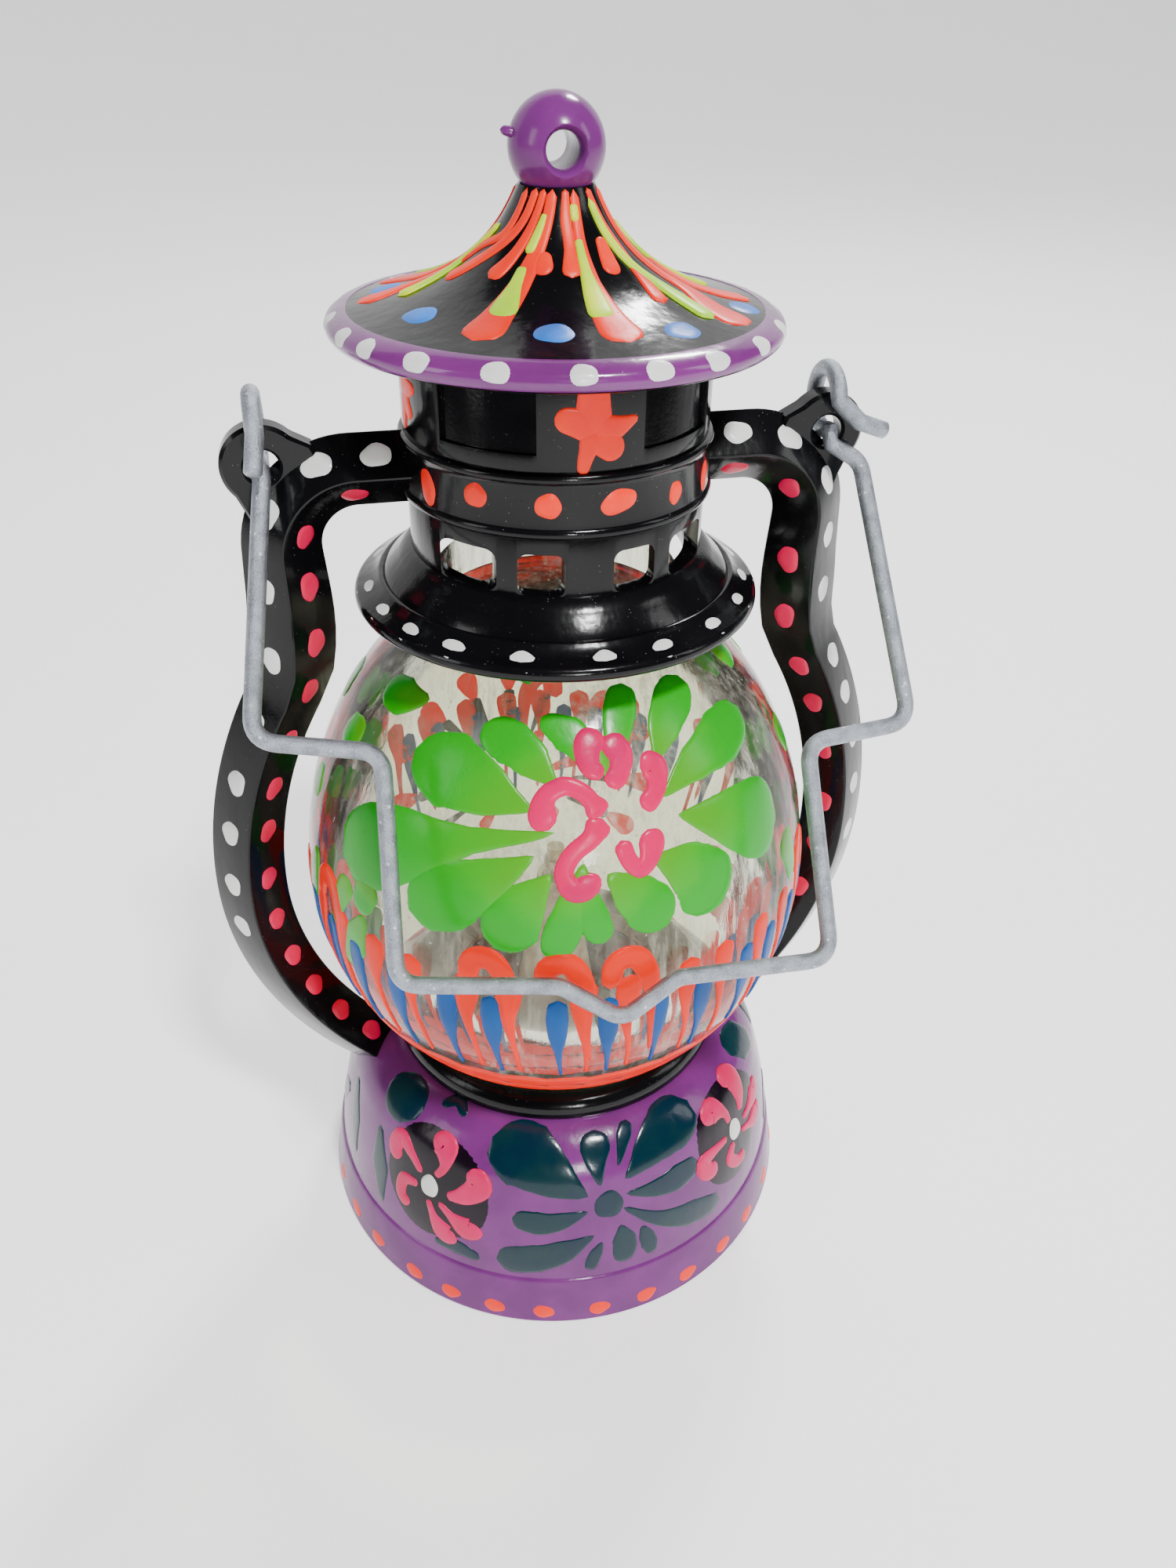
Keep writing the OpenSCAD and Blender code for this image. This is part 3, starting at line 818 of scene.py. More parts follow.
def base_leaves():
    """Loose dark leaves that fill the gaps between the flowers all round."""
    loose = Brush(5)
    rows = [((-69, 23.0), (-54, 24.4), [2.7, 3.4, 2.8]), ((-50, 25.5), (-41, 25.5), [0.55, 0.85, 0.5]),
            ((-66, 19.5), (-61, 8.5), [0.5, 1.9, 0.4]), ((-43, 9.0), (-30.5, 8.9), [0.4, 1.3, 0.7]),
            ((-84, 20.0), (-76, 10.0), [0.7, 1.9, 0.5]), ((56, 25.2), (70, 21.5), [1.5, 2.9, 1.2]),
            ((64, 8.5), (75, 13.0), [0.4, 1.6, 0.5]), ((78, 20.0), (86, 24.5), [0.6, 2.0, 1.0]),
            ((92, 9.0), (84, 15.0), [0.4, 1.5, 0.5]), ((-98, 10.0), (-88, 16.0), [0.4, 1.8, 0.6]),
            ((96, 23.5), (110, 24.5), [1.0, 2.4, 1.0]), ((-112, 24.3), (-98, 23.5), [1.0, 2.4, 1.0])]
    for tip, end, widths in rows:
        bend = ((tip[0] + end[0]) / 2, (tip[1] + end[1]) / 2 + 0.6)
        loose.stroke(base_skin, [tip, bend, end], widths, thick=0.12, across=10, ragged=0.02)
    return loose


def curl_flower(discs, curls, hearts, azimuth, level, turn=0.0, size=1.0):
    """A round dark flower with six pink curls about a pale heart."""
    r = base_skin.at(azimuth, level)
    reach = math.hypot(r[0], r[1])

    def local(x, y):
        c, s = math.cos(math.radians(turn)), math.sin(math.radians(turn))
        x, y = (x * c - y * s) * size, (x * s + y * c) * size
        foot, _ = base_skin.meet(base_skin.at(azimuth + math.degrees(x / reach), level + y * 0.86))
        return math.degrees(math.atan2(foot[0], -foot[1])), foot[2]

    discs.dot(base_skin, local(0.3, 0.4), 6.5 * size, 6.7 * size, thick=0.12, odd=0.03,
              rings=7, around=48)
    hooks = [([(0.5, 1.6), (1.4, 3.4), (0.9, 5.4), (-0.4, 4.7)], [0.35, 0.5, 1.35, 1.3]),
             ([(-1.0, 1.0), (-2.8, 2.6), (-4.6, 3.6), (-5.2, 1.8), (-4.1, 0.8)],
              [0.35, 0.5, 0.8, 1.0, 0.9]),
             ([(2.0, -0.2), (4.0, 0.8), (5.4, 2.6), (4.4, 4.4)], [0.35, 1.0, 1.35, 0.9]),
             ([(1.2, -1.4), (3.2, -2.9), (4.8, -3.6), (5.4, -2.6)], [0.3, 0.5, 1.3, 1.4]),
             ([(0.0, -1.7), (1.0, -4.0), (2.4, -5.6), (3.2, -5.0)], [0.3, 0.45, 1.2, 1.25]),
             ([(-1.3, -0.6), (-3.2, -1.2), (-3.4, -3.4), (-2.2, -4.6)], [0.35, 0.7, 0.7, 0.75])]
    for path, widths in hooks:
        curls.stroke(base_skin, [local(x, y) for x, y in path], [w * 1.35 for w in widths],
                     thick=0.3)
    hearts.dot(base_skin, local(0, 0), 1.15 * size, 1.4 * size, thick=0.45, odd=0.03)


def paint_base():
    base_flower(0).finish("base_flower_front", bottle)
    base_flower(180).finish("base_flower_back", bottle)
    base_leaves().finish("base_leaves", bottle)
    discs, curls, hearts = Brush(7), Brush(8), Brush(9)
    places = [(-45.5, 17.0, 0, 1.24), (43, 17.8, 40, 1.2), (-135, 17.6, 80, 1.2),
              (135, 17.4, 160, 1.22)]
    for azimuth, level, turn, size in places:
        curl_flower(discs, curls, hearts, azimuth, level, turn, size)
    discs.finish("base_flower_discs", disc_black)
    curls.finish("base_flower_curls", hot_pink)
    hearts.finish("base_flower_hearts", cream)
    places = []
    for azimuth in ([-84, -72, -61, -48, -37.5, -26.5, -15, -2, 9.5, 21, 33, 44, 57, 71, 86]
                    + list(range(101, 270, 13))):
        foot, normal = base_skin.meet(base_skin.at(azimuth, 1.9))
        places.append((foot, normal, (0, 0, 1), 1.35, 1.1, 0.12))
    scattered(places, "base_edge_dots", orange, seed=4)


# ---------------------------------------------------------------- neck ring and burner

def make_ring_and_burner():
    ring = ([(16.3, BASE_H), (21.2, BASE_H)] + arc(19.35, BASE_H + 0.8, 2.0, -15, 90, 20)
            + [(18.95, 28.9), (18.85, 28.6), (17.4, 27.9), (17.3, 27.4), (14.3, 27.4), (14.3, 26.6),
               (16.3, 26.6)])
    points, faces = lathe(ring, closed=True)
    piece("neck_ring_casting", points, faces, black, "lamp", ["neck_ring"])
    # The font is given black enamel, not bare tin, so that the well inside the neck ring shows dark:
    # painted shade.
    well = [(16.2, BASE_H), (16.2, BASE_H + 0.4), (13.5, BASE_H + 0.4), (13.5, LID_Z),
            (12.5, LID_Z), (12.5, 5.5), (0, 5.5)]
    points, faces = lathe([(0, 5), (13.6, 5), (14, 5.4), (14, BASE_H)] + well)
    piece("font_bowl", points, faces, black, "lamp", ["oil_font"])
    lid = ([(1.5, LID_Z), (13.45, LID_Z), (13.45, LID_Z + 0.8)]
           + arc(13.05, LID_Z + 0.7, 0.4, 0, 90, 6)
           + [(9.9, LID_Z + 1.1), (9.6, LID_Z + 0.9), (9.6, LID_Z + 0.5), (1.5, LID_Z + 0.5)])
    points, faces = lathe(lid, closed=True)
    piece("font_plate", points, faces, tin, "lamp", ["font_lid"])
    foot = LID_Z + 0.5
    cone = [(7.6, foot), (9.4, foot), (9.4, foot + 0.5), (8.4, foot + 0.9), (7.2, foot + 4),
            (6.2, foot + 8), (5.3, foot + 12), (4.6, foot + 16), (3.8, foot + 21), (3.2, foot + 25),
            (2.3, foot + 32), (1.5, foot + 32), (1.5, foot + 31.4), (2.6, foot + 24.8),
            (4, foot + 15.8), (5.6, foot + 7.8)]
    points, faces = lathe(cone, closed=True)
    piece("burner_cone_tin", points, faces, tin, "lamp", ["burner_cone"])
    tube = [(1.15, 10), (1.5, 10), (1.5, 49.8), (1.4, 50), (1.25, 50), (1.15, 49.8)]
    points, faces = lathe(tube, closed=True, segments=48)
    piece("wick_tube_tin", points, faces, tin, "lamp", ["wick_tube"])


# ---------------------------------------------------------------- globe

def globe_side(t=0.0, steps=64):
    low = -math.asin((GLOBE_Z - FOOT_Z) / GLOBE_DOWN)
    high = math.acos(NECK_R / GLOBE_R)
    out = []
    for i in range(steps + 1):
        a = low + (high - low) * i / steps
        h = (GLOBE_DOWN if a < 0 else GLOBE_UP) - t
        out.append(((GLOBE_R - t) * math.cos(a), GLOBE_Z + h * math.sin(a)))
    return out


globe_skin = Turned(globe_side(steps=96) + [(NECK_R, NECK_TOP)])


def make_globe():
    inner_r = NECK_R - GLASS_T
    inner = [p for p in reversed(globe_side(GLASS_T))
             if p[1] > FOOT_Z and (p[0] > inner_r or p[1] < GLOBE_Z)]
    outer = globe_side()
    profile = (outer + [(NECK_R, 86), (NECK_R, NECK_TOP - 0.4)]
               + arc(NECK_R - 0.6, NECK_TOP - 0.4, 0.4, 60, 120, 4)
               + [(inner_r, NECK_TOP - 0.4)] + inner + [(outer[0][0] - 2.0, FOOT_Z)])
    points, faces = lathe(profile, closed=True, segments=256)
    piece("globe_glass_shell", points, faces, glass, "globe", ["globe"])


def globe_flower():
    """The front flower on the glass: long green leaves round pink curls."""
    green, pink = Brush(11), Brush(12)
    rows = [([(-11.7, 76.0), (-22, 78.6), (-34.5, 80.0)], [0.15, 1.8, 2.3, 1.6]),
            ([(-17.5, 74.0), (-36, 75.8), (-52.5, 76.6)], [0.2, 2.6, 3.9, 2.6]),
            ([(-12.5, 72.2), (-32, 70.7), (-52, 67.6), (-65.5, 63.6)], [0.2, 1.4, 4.4, 4.8]),
            ([(-17.0, 70.1), (-29, 66.8), (-44, 62.2)], [0.2, 2.3, 3.8, 2.6]),
            ([(-13.3, 68.5), (-19.2, 65.2), (-24.5, 60.4)], [0.2, 2.1, 3.2, 2.2]),
            ([(-6.2, 69.4), (-9.2, 65.0), (-13.2, 59.6)], [0.25, 1.5, 2.0, 1.5]),
            ([(-6.6, 69.3), (-5.2, 65.0), (-2.6, 61.2)], [0.25, 1.1, 1.7, 1.3]),
            ([(-1.3, 68.2), (5.6, 65.2), (11.2, 61.8)], [0.35, 2.2, 2.8, 2.0]),
            ([(9.2, 69.1), (18.5, 66.4), (25, 61.8)], [0.2, 2.6, 3.9, 3.0]),
            ([(17.2, 72.1), (30, 70.0), (48, 66.2)], [0.2, 2.5, 4.4, 4.9]),
            ([(13.8, 74.0), (27, 75.8), (52, 77.2)], [0.2, 1.9, 3.0, 2.2]),
            ([(14.2, 76.8), (22.5, 79.6), (36, 82.0)], [0.2, 1.7, 2.3, 1.8]),
            ([(1.5, 76.3), (6.8, 80.2), (12.4, 82.8)], [0.25, 1.2, 1.7, 1.5]),
            ([(2.4, 76.4), (-6.5, 79.4), (-17.0, 81.0)], [0.2, 1.5, 1.9, 0.8])]
    for path, widths in rows:
        green.stroke(globe_skin, path, widths, thick=0.16, across=10, steps=22, ragged=0.03)
    drips = [([(-62, 61.5), (-66, 57.0), (-66.5, 53.5)], [1.6, 1.3, 0.9]),
             ([(-55, 63.0), (-58, 58.6)], [2.2, 1.3]),
             ([(50, 63.5), (52.5, 59.5), (53, 56.5)], [2.4, 1.8, 1.1])]
    for path, widths in drips:
        green.stroke(globe_skin, path, widths, thick=0.14, across=8)
    hooks = [([(-1.5, 73.4), (-3.6, 74.6), (-6.0, 75.5), (-10.2, 76.0), (-14.4, 75.3), (-15.6, 73.8),
               (-13.9, 72.4)], [1.7, 0.7, 0.7, 0.75, 0.8, 1.1, 1.2]),
             ([(-1.5, 73.2), (-4.4, 71.6), (-8.6, 70.3), (-10.6, 68.6), (-8.8, 67.0), (-6.0, 67.4),
               (-5.9, 68.6)], [1.6, 0.8, 0.75, 0.75, 0.8, 1.2, 1.4]),
             ([(0.1, 80.0), (-3.6, 78.8), (-3.0, 77.3), (0.4, 76.8)], [1.3, 1.2, 0.9, 0.6]),
             ([(2.2, 79.6), (5.2, 78.1), (4.0, 76.7), (0.8, 75.7)], [1.1, 1.1, 0.9, 0.9]),
             ([(10.0, 76.8), (13.6, 76.6), (13.7, 75.3), (11.6, 74.2), (8.4, 73.5)],
              [1.3, 1.2, 0.85, 0.8, 0.95]),
             ([(2.3, 71.1), (3.7, 69.2), (5.8, 68.2), (8.0, 68.8), (9.4, 70.3), (8.9, 71.6)],
              [0.8, 0.7, 0.7, 0.8, 1.1, 1.15])]
    for path, widths in hooks:
        pink.stroke(globe_skin, path, [w * 1.28 for w in widths], thick=0.32, steps=30)
    green.finish("globe_leaves_front", leaf, "globe")
    pink.finish("globe_curls_front", glass_pink, "globe")


def globe_sides():
    """Smaller leaves at the sides of the glass."""
    green = Brush(13)
    rows = [([(-56, 80.4), (-66, 79.6), (-77, 79.4)], [0.3, 1.5, 1.2]),
            ([(-74, 75.6), (-83, 72.8)], [0.6, 1.6, 0.8]), ([(-84, 65.5), (-92, 67.0)], [0.7, 1.8, 1.0]),
            ([(-78, 60.5), (-83, 52.5)], [0.5, 1.6, 0.9]), ([(-56, 58.5), (-64, 49.5)], [0.4, 1.5, 0.8]),
            ([(-47, 85.0), (-58, 84.0)], [0.8, 1.4, 0.7]), ([(-20, 84.3), (-30, 83.8)], [0.7, 1.3, 0.6]),
            ([(62, 81.5), (74, 80.0)], [0.5, 1.7, 1.0]), ([(66, 71.6), (76, 69.0)], [0.6, 1.7, 0.9]),
            ([(76, 62.0), (80, 53.5)], [0.4, 1.6, 0.9]), ([(58, 55.0), (64, 46.5)], [0.4, 1.4, 0.7]),
            ([(92, 76.0), (104, 77.0)], [0.5, 2.0, 1.2]), ([(94, 66.0), (106, 62.0)], [0.5, 2.2, 1.2]),
            ([(-98, 74.0), (-110, 76.5)], [0.5, 2.0, 1.2]), ([(-100, 60.0), (-112, 57.0)], [0.5, 2.2, 1.2])]
    for path, widths in rows:
        green.stroke(globe_skin, path, [w * 1.45 for w in widths], thick=0.14, across=8)
    green.finish("globe_leaves_sides", leaf, "globe")


def globe_back():
    """The flower on the far side: red dabs with dark blue tails about its own middle."""
    red, dark = Brush(14), Brush(15)
    middle = (180, 42)
    heads = [(141, 52), (152, 57), (167, 61), (181, 62.5), (194, 61.5), (206, 58), (216, 52.5),
             (221, 45), (218, 37.5), (137, 44), (141, 37)]
    inner = [(172, 50), (188, 50.5), (198, 45), (162, 45.5), (193, 37), (167, 37.5)]

    def toward(point, share):
        return tuple(p + (m - p) * share for p, m in zip(point, middle))

    for point in heads:
        red.stroke(globe_skin, [toward(point, 0.26), toward(point, 0.0)], [0.4, 1.1, 1.5, 1.2],
                   thick=0.14)
        dark.stroke(globe_skin, [toward(point, 0.6), toward(point, 0.24)], [0.2, 0.5, 0.9],
                    thick=0.12)
    for point in inner:
        red.stroke(globe_skin, [toward(point, 0.5), toward(point, 0.0)], [0.3, 0.7, 1.0],
                   thick=0.14)
    red.finish("globe_flower_back_red", back_orange, "globe")
    dark.finish("globe_flower_back_blue", back_blue, "globe")


def globe_foot():
    """The skirt of alternate orange and blue drops, and the orange ring that they stand on."""
    drop = Brush(16)
    drop.stroke(globe_skin, [(1.4, 41.5), (0.8, 46.0), (-0.4, 51.5), (0.3, 57.0)],
                [0.24, 0.26, 0.34, 0.62, 1.35, 1.5], thick=0.2, steps=30)
    spun(drop, 32, "globe_skirt_orange", glass_orange, "globe", start=2.5, jitter=2.2, seed=5)
    drop = Brush(17)
    drop.stroke(globe_skin, [(0.9, 41.0), (0.3, 45.5), (0.0, 50.0), (0.0, 54.5)],
                [0.2, 0.24, 0.45, 1.0, 1.2, 1.0], thick=0.24, steps=26)
    spun(drop, 32, "globe_skirt_blue", glass_blue, "globe", start=-2.0, jitter=1.5, seed=6)
    loops = Brush(19)
    for middle in (-26.0, -10.5, 3.0, 62.0, 118.0, 172.0, 231.0, 290.0):
        loops.stroke(globe_skin, [(middle - 4.4, 55.5), (middle - 3.2, 58.6), (middle + 1.2, 58.9),
                                  (middle + 4.2, 55.5), (middle + 4.6, 50.0), (middle + 5.6, 44.0)],
                     [1.0, 1.35, 1.2, 0.6, 0.3, 0.25], thick=0.26, steps=26)
    loops.finish("globe_skirt_loops", glass_orange, "globe")
    ring = Brush(18)
    for k in list(range(12)) + list(range(25, 36)):
        wave = ring.random.uniform(-0.5, 0.8)
        ring.stroke(globe_skin, [(k * 10 - 7, 38.2 + wave), (k * 10 + 7, 38.6 - wave)],
                    [1.3, 1.7 + wave * 0.6, 1.2], thick=0.18, steps=8, across=6)
        ring.stroke(globe_skin, [(k * 10 - 7, 35.0), (k * 10 + 7, 35.0)], [1.6, 1.8, 1.6],
                    thick=0.12, steps=8, across=6)
    ring.finish("globe_foot_ring", glass_orange, "globe")


# ---------------------------------------------------------------- collar, chimney, roof, eye

collar_rim = Turned([(COLLAR_R - 0.3, COLLAR_Z + 0.05), (COLLAR_R - 0.02, COLLAR_Z + 0.6),
                     (COLLAR_R - 0.1, COLLAR_Z + 1.3), (20.4, 87.9), (19.6, 88.5), (18.6, 89.2)])


def make_collar():
    outline = ([(VENT_R, VENT_Z - 0.4), (15.9, 90.2), (17.6, 88.7), (19.0, 87.8), (19.5, 87.4),
                (19.8, 86.6)] + arc(COLLAR_R - 0.8, COLLAR_Z + 0.8, 0.8, -90, 70, 14)
               + [(19.6, 88.5), (18.7, 89.15)] + arc(18.25, 89.1, 0.4, 45, 135, 4)
               + [(17.5, 90.1), (16.65, 90.9), (16.3, 91.35), (15.4, 92.35), (VENT_R, 92.5)])
    points, faces = lathe(outline, closed=True)
    piece("globe_collar_casting", points, faces, black, "lamp", ["globe_collar"])
    dots = Brush(8)
    for azimuth in [-90, -73, -57.5, -41.5, -21.5, 1, 18.5, 39, 57.5, 75] + list(range(93, 260, 19)):
        dots.dot(collar_rim, (azimuth, 88.2), dots.random.uniform(1.3, 1.5), 1.2, thick=0.12)
    dots.finish("collar_dots", cream)


def rounded_box(x0, x1, z0, z1, r):
    out = []
    for cx, cz, start in ((x1 - r, z1 - r, 0), (x0 + r, z1 - r, 90), (x0 + r, z0 + r, 180),
                          (x1 - r, z0 + r, 270)):
        out += arc(cx, cz, r, start, start + 90, 6)
    return out


def make_chimney():
    wall = [(FLUE_R, VENT_Z), (VENT_R, VENT_Z), (VENT_R, BAND_Z), (FLUE_R, BAND_Z)]
    windows = [prism(rounded_box(x0, x1, 92.4, 96.6, 1.0), -20, 20)
               for x0, x1 in ((-12.9, -8.4), (-6.6, -2.3), (2.3, 6.6), (8.4, 12.9))]
    mesh = cut(lathe(wall, closed=True), windows, bevel=0.2)
    settle("vent_ring_casting", mesh, black, "lamp", ["vent_ring"])

    band = ([(FLUE_R, BAND_Z), (BAND_R - 0.3, BAND_Z)]
            + arc(BAND_R - 0.35, BAND_Z + 0.7, 0.6, -60, 60, 10)
            + [(BAND_R - 0.1, BAND_Z + 1.6), (BAND_R - 0.1, STACK_Z - 1.4)]
            + arc(BAND_R - 0.3, STACK_Z - 0.5, 0.5, -50, 80, 10) + [(FLUE_R, STACK_Z)])
    points, faces = lathe(band, closed=True)
    piece("chimney_band_casting", points, faces, black, "lamp", ["chimney_band"])

    wall = [(FLUE_R, STACK_Z), (STACK_R, STACK_Z), (STACK_R, ROOF_Z + 1.5), (FLUE_R, ROOF_Z + 1.5)]
    panels = []
    for middle in (-37.7, 37.7, 142.3, 217.7):
        inner = [(math.radians(middle + s), STACK_R - 0.5) for s in np.linspace(-18.7, 18.7, 13)]
        ring = inner + [(a, STACK_R + 2) for a, _ in reversed(inner)]
        panels.append(prism([(r * math.sin(a), -r * math.cos(a)) for a, r in ring],
                            STACK_Z + 1.6, ROOF_Z + 4, plane="xy"))
    mesh = cut(lathe(wall, closed=True), panels, bevel=0.15)
    settle("chimney_stack_casting", mesh, black, "lamp", ["chimney_stack"])


band_skin = Turned([(BAND_R - 0.1, BAND_Z), (BAND_R - 0.1, STACK_Z)])
stack_skin = Turned([(STACK_R, STACK_Z - 1), (STACK_R, ROOF_Z + 1.5)])


def paint_chimney():
    marks = Brush(21)
    for azimuth, level, wide, tall, lean in (
            (-64, 100.9, 1.15, 1.85, 10), (-41, 101.7, 1.25, 1.15, 20), (-15, 101.4, 1.25, 1.2, 0),
            (9.5, 101.5, 1.85, 1.15, 15), (34.5, 101.0, 0.95, 1.15, 0), (57, 100.8, 0.9, 1.6, 0),
            (82, 101.2, 1.2, 1.2, 0), (106, 101.2, 1.4, 1.1, 10), (130, 101.3, 1.1, 1.3, 0),
            (154, 101.1, 1.3, 1.2, 0), (178, 101.2, 1.6, 1.1, 15), (-158, 101.2, 1.1, 1.3, 0),
            (-134, 101.3, 1.3, 1.2, 0), (-110, 101.1, 1.2, 1.5, 0), (-88, 101.3, 1.1, 1.2, 0)):
        marks.dot(band_skin, (azimuth, level), wide, tall, lean=lean)
    marks.finish("band_dots", orange)
    splash = Brush(22)
    for path, widths in (([(0.0, 112.2), (0.0, 107.6)], [1.6, 1.5, 1.7, 1.9]),
                         ([(2.0, 108.2), (-7, 108.9), (-13, 109.2)], [1.7, 1.3, 1.0]),
                         ([(0.0, 108.0), (8, 108.2), (16, 108.9)], [1.7, 1.1, 0.25]),
                         ([(1.0, 108.0), (6, 106.6), (10, 105.6)], [1.7, 1.4, 1.0]),
                         ([(1.0, 108.0), (-2.2, 105.9), (-3.6, 104.2)], [1.6, 0.8, 0.5]),
                         ([(-82, 112.2), (-80, 108.0)], [1.3, 1.2, 1.5]),
                         ([(-82, 109.0), (-71, 109.4)], [1.3, 0.9, 0.4]),
                         ([(-81, 108.6), (-84, 105.0)], [1.2, 0.8, 0.7]),
                         ([(-81, 108.6), (-75, 106.4)], [1.2, 0.8, 0.6]),
                         ([(178, 112.2), (180, 107.8)], [1.4, 1.3, 1.8]),
                         ([(180, 108.4), (168, 109.0)], [1.6, 1.2, 0.9]),
                         ([(180, 108.0), (190, 106.2)], [1.6, 1.2, 1.0]),
                         ([(92, 112.2), (94, 108.2)], [1.2, 1.2, 1.6]),
                         ([(94, 108.8), (104, 107.0)], [1.4, 1.0, 0.8])):
        splash.stroke(stack_skin, path, widths, thick=0.14, sink=0.08)
    splash.finish("chimney_splash", orange)


def roof_h(r):
    return ROOF_C + ROOF_K / (r + ROOF_A)


roof_top = [(r, roof_h(r)) for r in np.geomspace(ROOF_NECK_R, ROOF_R - 1.1, 40)]
roof_rim = arc(ROOF_R - 1, ROOF_Z + 1.2, 1.0, 60, -60, 14)
roof_skin = Turned(roof_top[::-1], by="radius")
rim_skin = Turned(list(reversed(roof_rim)) + [(r, z) for r, z in roof_top[::-1] if r > 15])


def make_roof():
    under = [(r, roof_h(r) - 1.9) for r in (19.6, 18, 17, 15.6)]
    outline = ([(0, roof_h(ROOF_NECK_R))] + roof_top + roof_rim + [(ROOF_R - 1.3, ROOF_Z + 0.2)]
               + under + [(15.4, ROOF_Z + 1.5), (FLUE_R - 0.1, ROOF_Z + 1.5),
                          (FLUE_R - 0.1, ROOF_Z - 0.5), (FLUE_R - 1, ROOF_Z - 0.5),
                          (FLUE_R - 1, ROOF_Z + 1.5), (9, ROOF_Z + 3.7), (5, 119.6), (0, 119.6)])
    points, faces = lathe(outline, segments=256)
    piece("roof_casting", points, faces, black, "lamp", ["roof_cap"])
    skin = [p for p in roof_top if p[0] > 19.3] + roof_rim + [(ROOF_R - 1.3, ROOF_Z + 0.2)]
    outer = [(r + 0.05, z + 0.05) for r, z in skin]
    inner = [(r - 0.12, z - 0.1 if k < len(skin) - 9 else z + 0.1) for k, (r, z) in enumerate(skin)]
    points, faces = lathe(outer + inner[::-1], closed=True, segments=256)
    piece("roof_rim_paint", points, faces, rim_purple, "lamp")


def paint_roof():
    """Orange streaks running down from the ball, lime lines on them, and sky blue ovals."""
    red, yellow, ovals = Brush(31), Brush(32), Brush(33)
    wide = (([(-18, 3.47), (-24, 5.3), (-30, 7.5), (-34, 11.3), (-36, 17.0)],
             [0.45, 0.6, 1.0, 1.5, 2.3]),
            ([(12, 3.47), (8.3, 5.9), (7.8, 8.9), (7.8, 12.8), (9.1, 16.8)],
             [0.4, 0.5, 0.8, 1.5, 2.3]),
            ([(66, 3.47), (64, 5.5), (66, 11.2), (56, 15.0), (52, 18.6)],
             [0.4, 0.55, 0.8, 1.5, 2.1]))
    thin = (([(-58, 3.47), (-66, 5.6), (-92, 7.4), (-102, 12.5), (-96, 18.3)],
             [0.3, 0.45, 0.6, 1.0, 1.6]),
            ([(-42, 3.47), (-51, 5.1), (-73, 7.6), (-86, 10.4)], [0.35, 0.45, 0.7, 1.05]),
            ([(-30, 3.47), (-40, 5.6), (-53, 9.0)], [0.3, 0.4, 0.6, 1.05]),
            ([(0, 3.47), (-2.5, 4.6), (-1.5, 5.9), (-3, 8.4)], [0.3, 0.5, 0.55, 1.0]),
            ([(-21, 6.4), (-21.6, 8.2)], [0.5, 0.9, 1.0]),
            ([(29, 5.6), (24.5, 8.4)], [0.5, 0.8, 1.0]),
            ([(36, 3.47), (41, 4.8), (45, 7.2), (37, 12.3)], [0.3, 0.45, 0.6, 0.95]),
            ([(80, 15.3), (84, 17.6)], [0.7, 0.9, 0.7]))
    lines = (([(-25, 4.4), (-30, 5.6), (-33.5, 6.7)], [0.25, 0.42, 0.5]),
             ([(-34, 7.6), (-34, 10.1), (-33.6, 13.47)], [0.45, 0.7, 1.2, 1.35]),
             ([(8.3, 4.0), (7, 4.8)], [0.35, 0.4, 0.35]),
             ([(6.5, 5.6), (5.9, 8.9), (5.4, 13.3)], [0.35, 0.5, 0.95, 1.3]),
             ([(33, 3.8), (41, 6.9), (49, 11.0), (46, 16.0)], [0.3, 0.5, 0.55, 1.0, 1.0]),
             ([(-84, 5.2), (-96, 7.4), (-94, 10.0), (-90, 14.6)], [0.3, 0.45, 0.6, 0.9]))
    for brush, rows, thick, sink in ((red, wide + thin, 0.2, 0.06), (yellow, lines, 0.3, -0.05)):
        for spine, widths in rows:
            for turn in (0, 180):
                brush.stroke(roof_skin, [(a + turn, r) for a, r in spine], widths, thick=thick,
                             sink=sink, steps=30)
    for azimuth, radius in ((-63.5, 15), (-13, 15), (28.6, 16.2), (69, 17.3), (116, 15.2),
                            (167, 15), (-151, 16), (-110, 16.2)):
        ovals.dot(roof_skin, (azimuth, radius), 1.75, 1.5, thick=0.16)
    red.finish("roof_streaks_orange", orange)
    yellow.finish("roof_streaks_lime", lime)
    ovals.finish("roof_ovals", sky)
    dots = Brush(9)
    for azimuth in [-90, -73.5, -61.5, -45, -25.5, -6.4, 11, 27, 45, 63] + list(range(82, 262, 18)):
        dots.dot(rim_skin, (azimuth, 114.5), dots.random.uniform(1.4, 1.6), 1.35, thick=0.14)
    dots.finish("roof_rim_dots", cream)


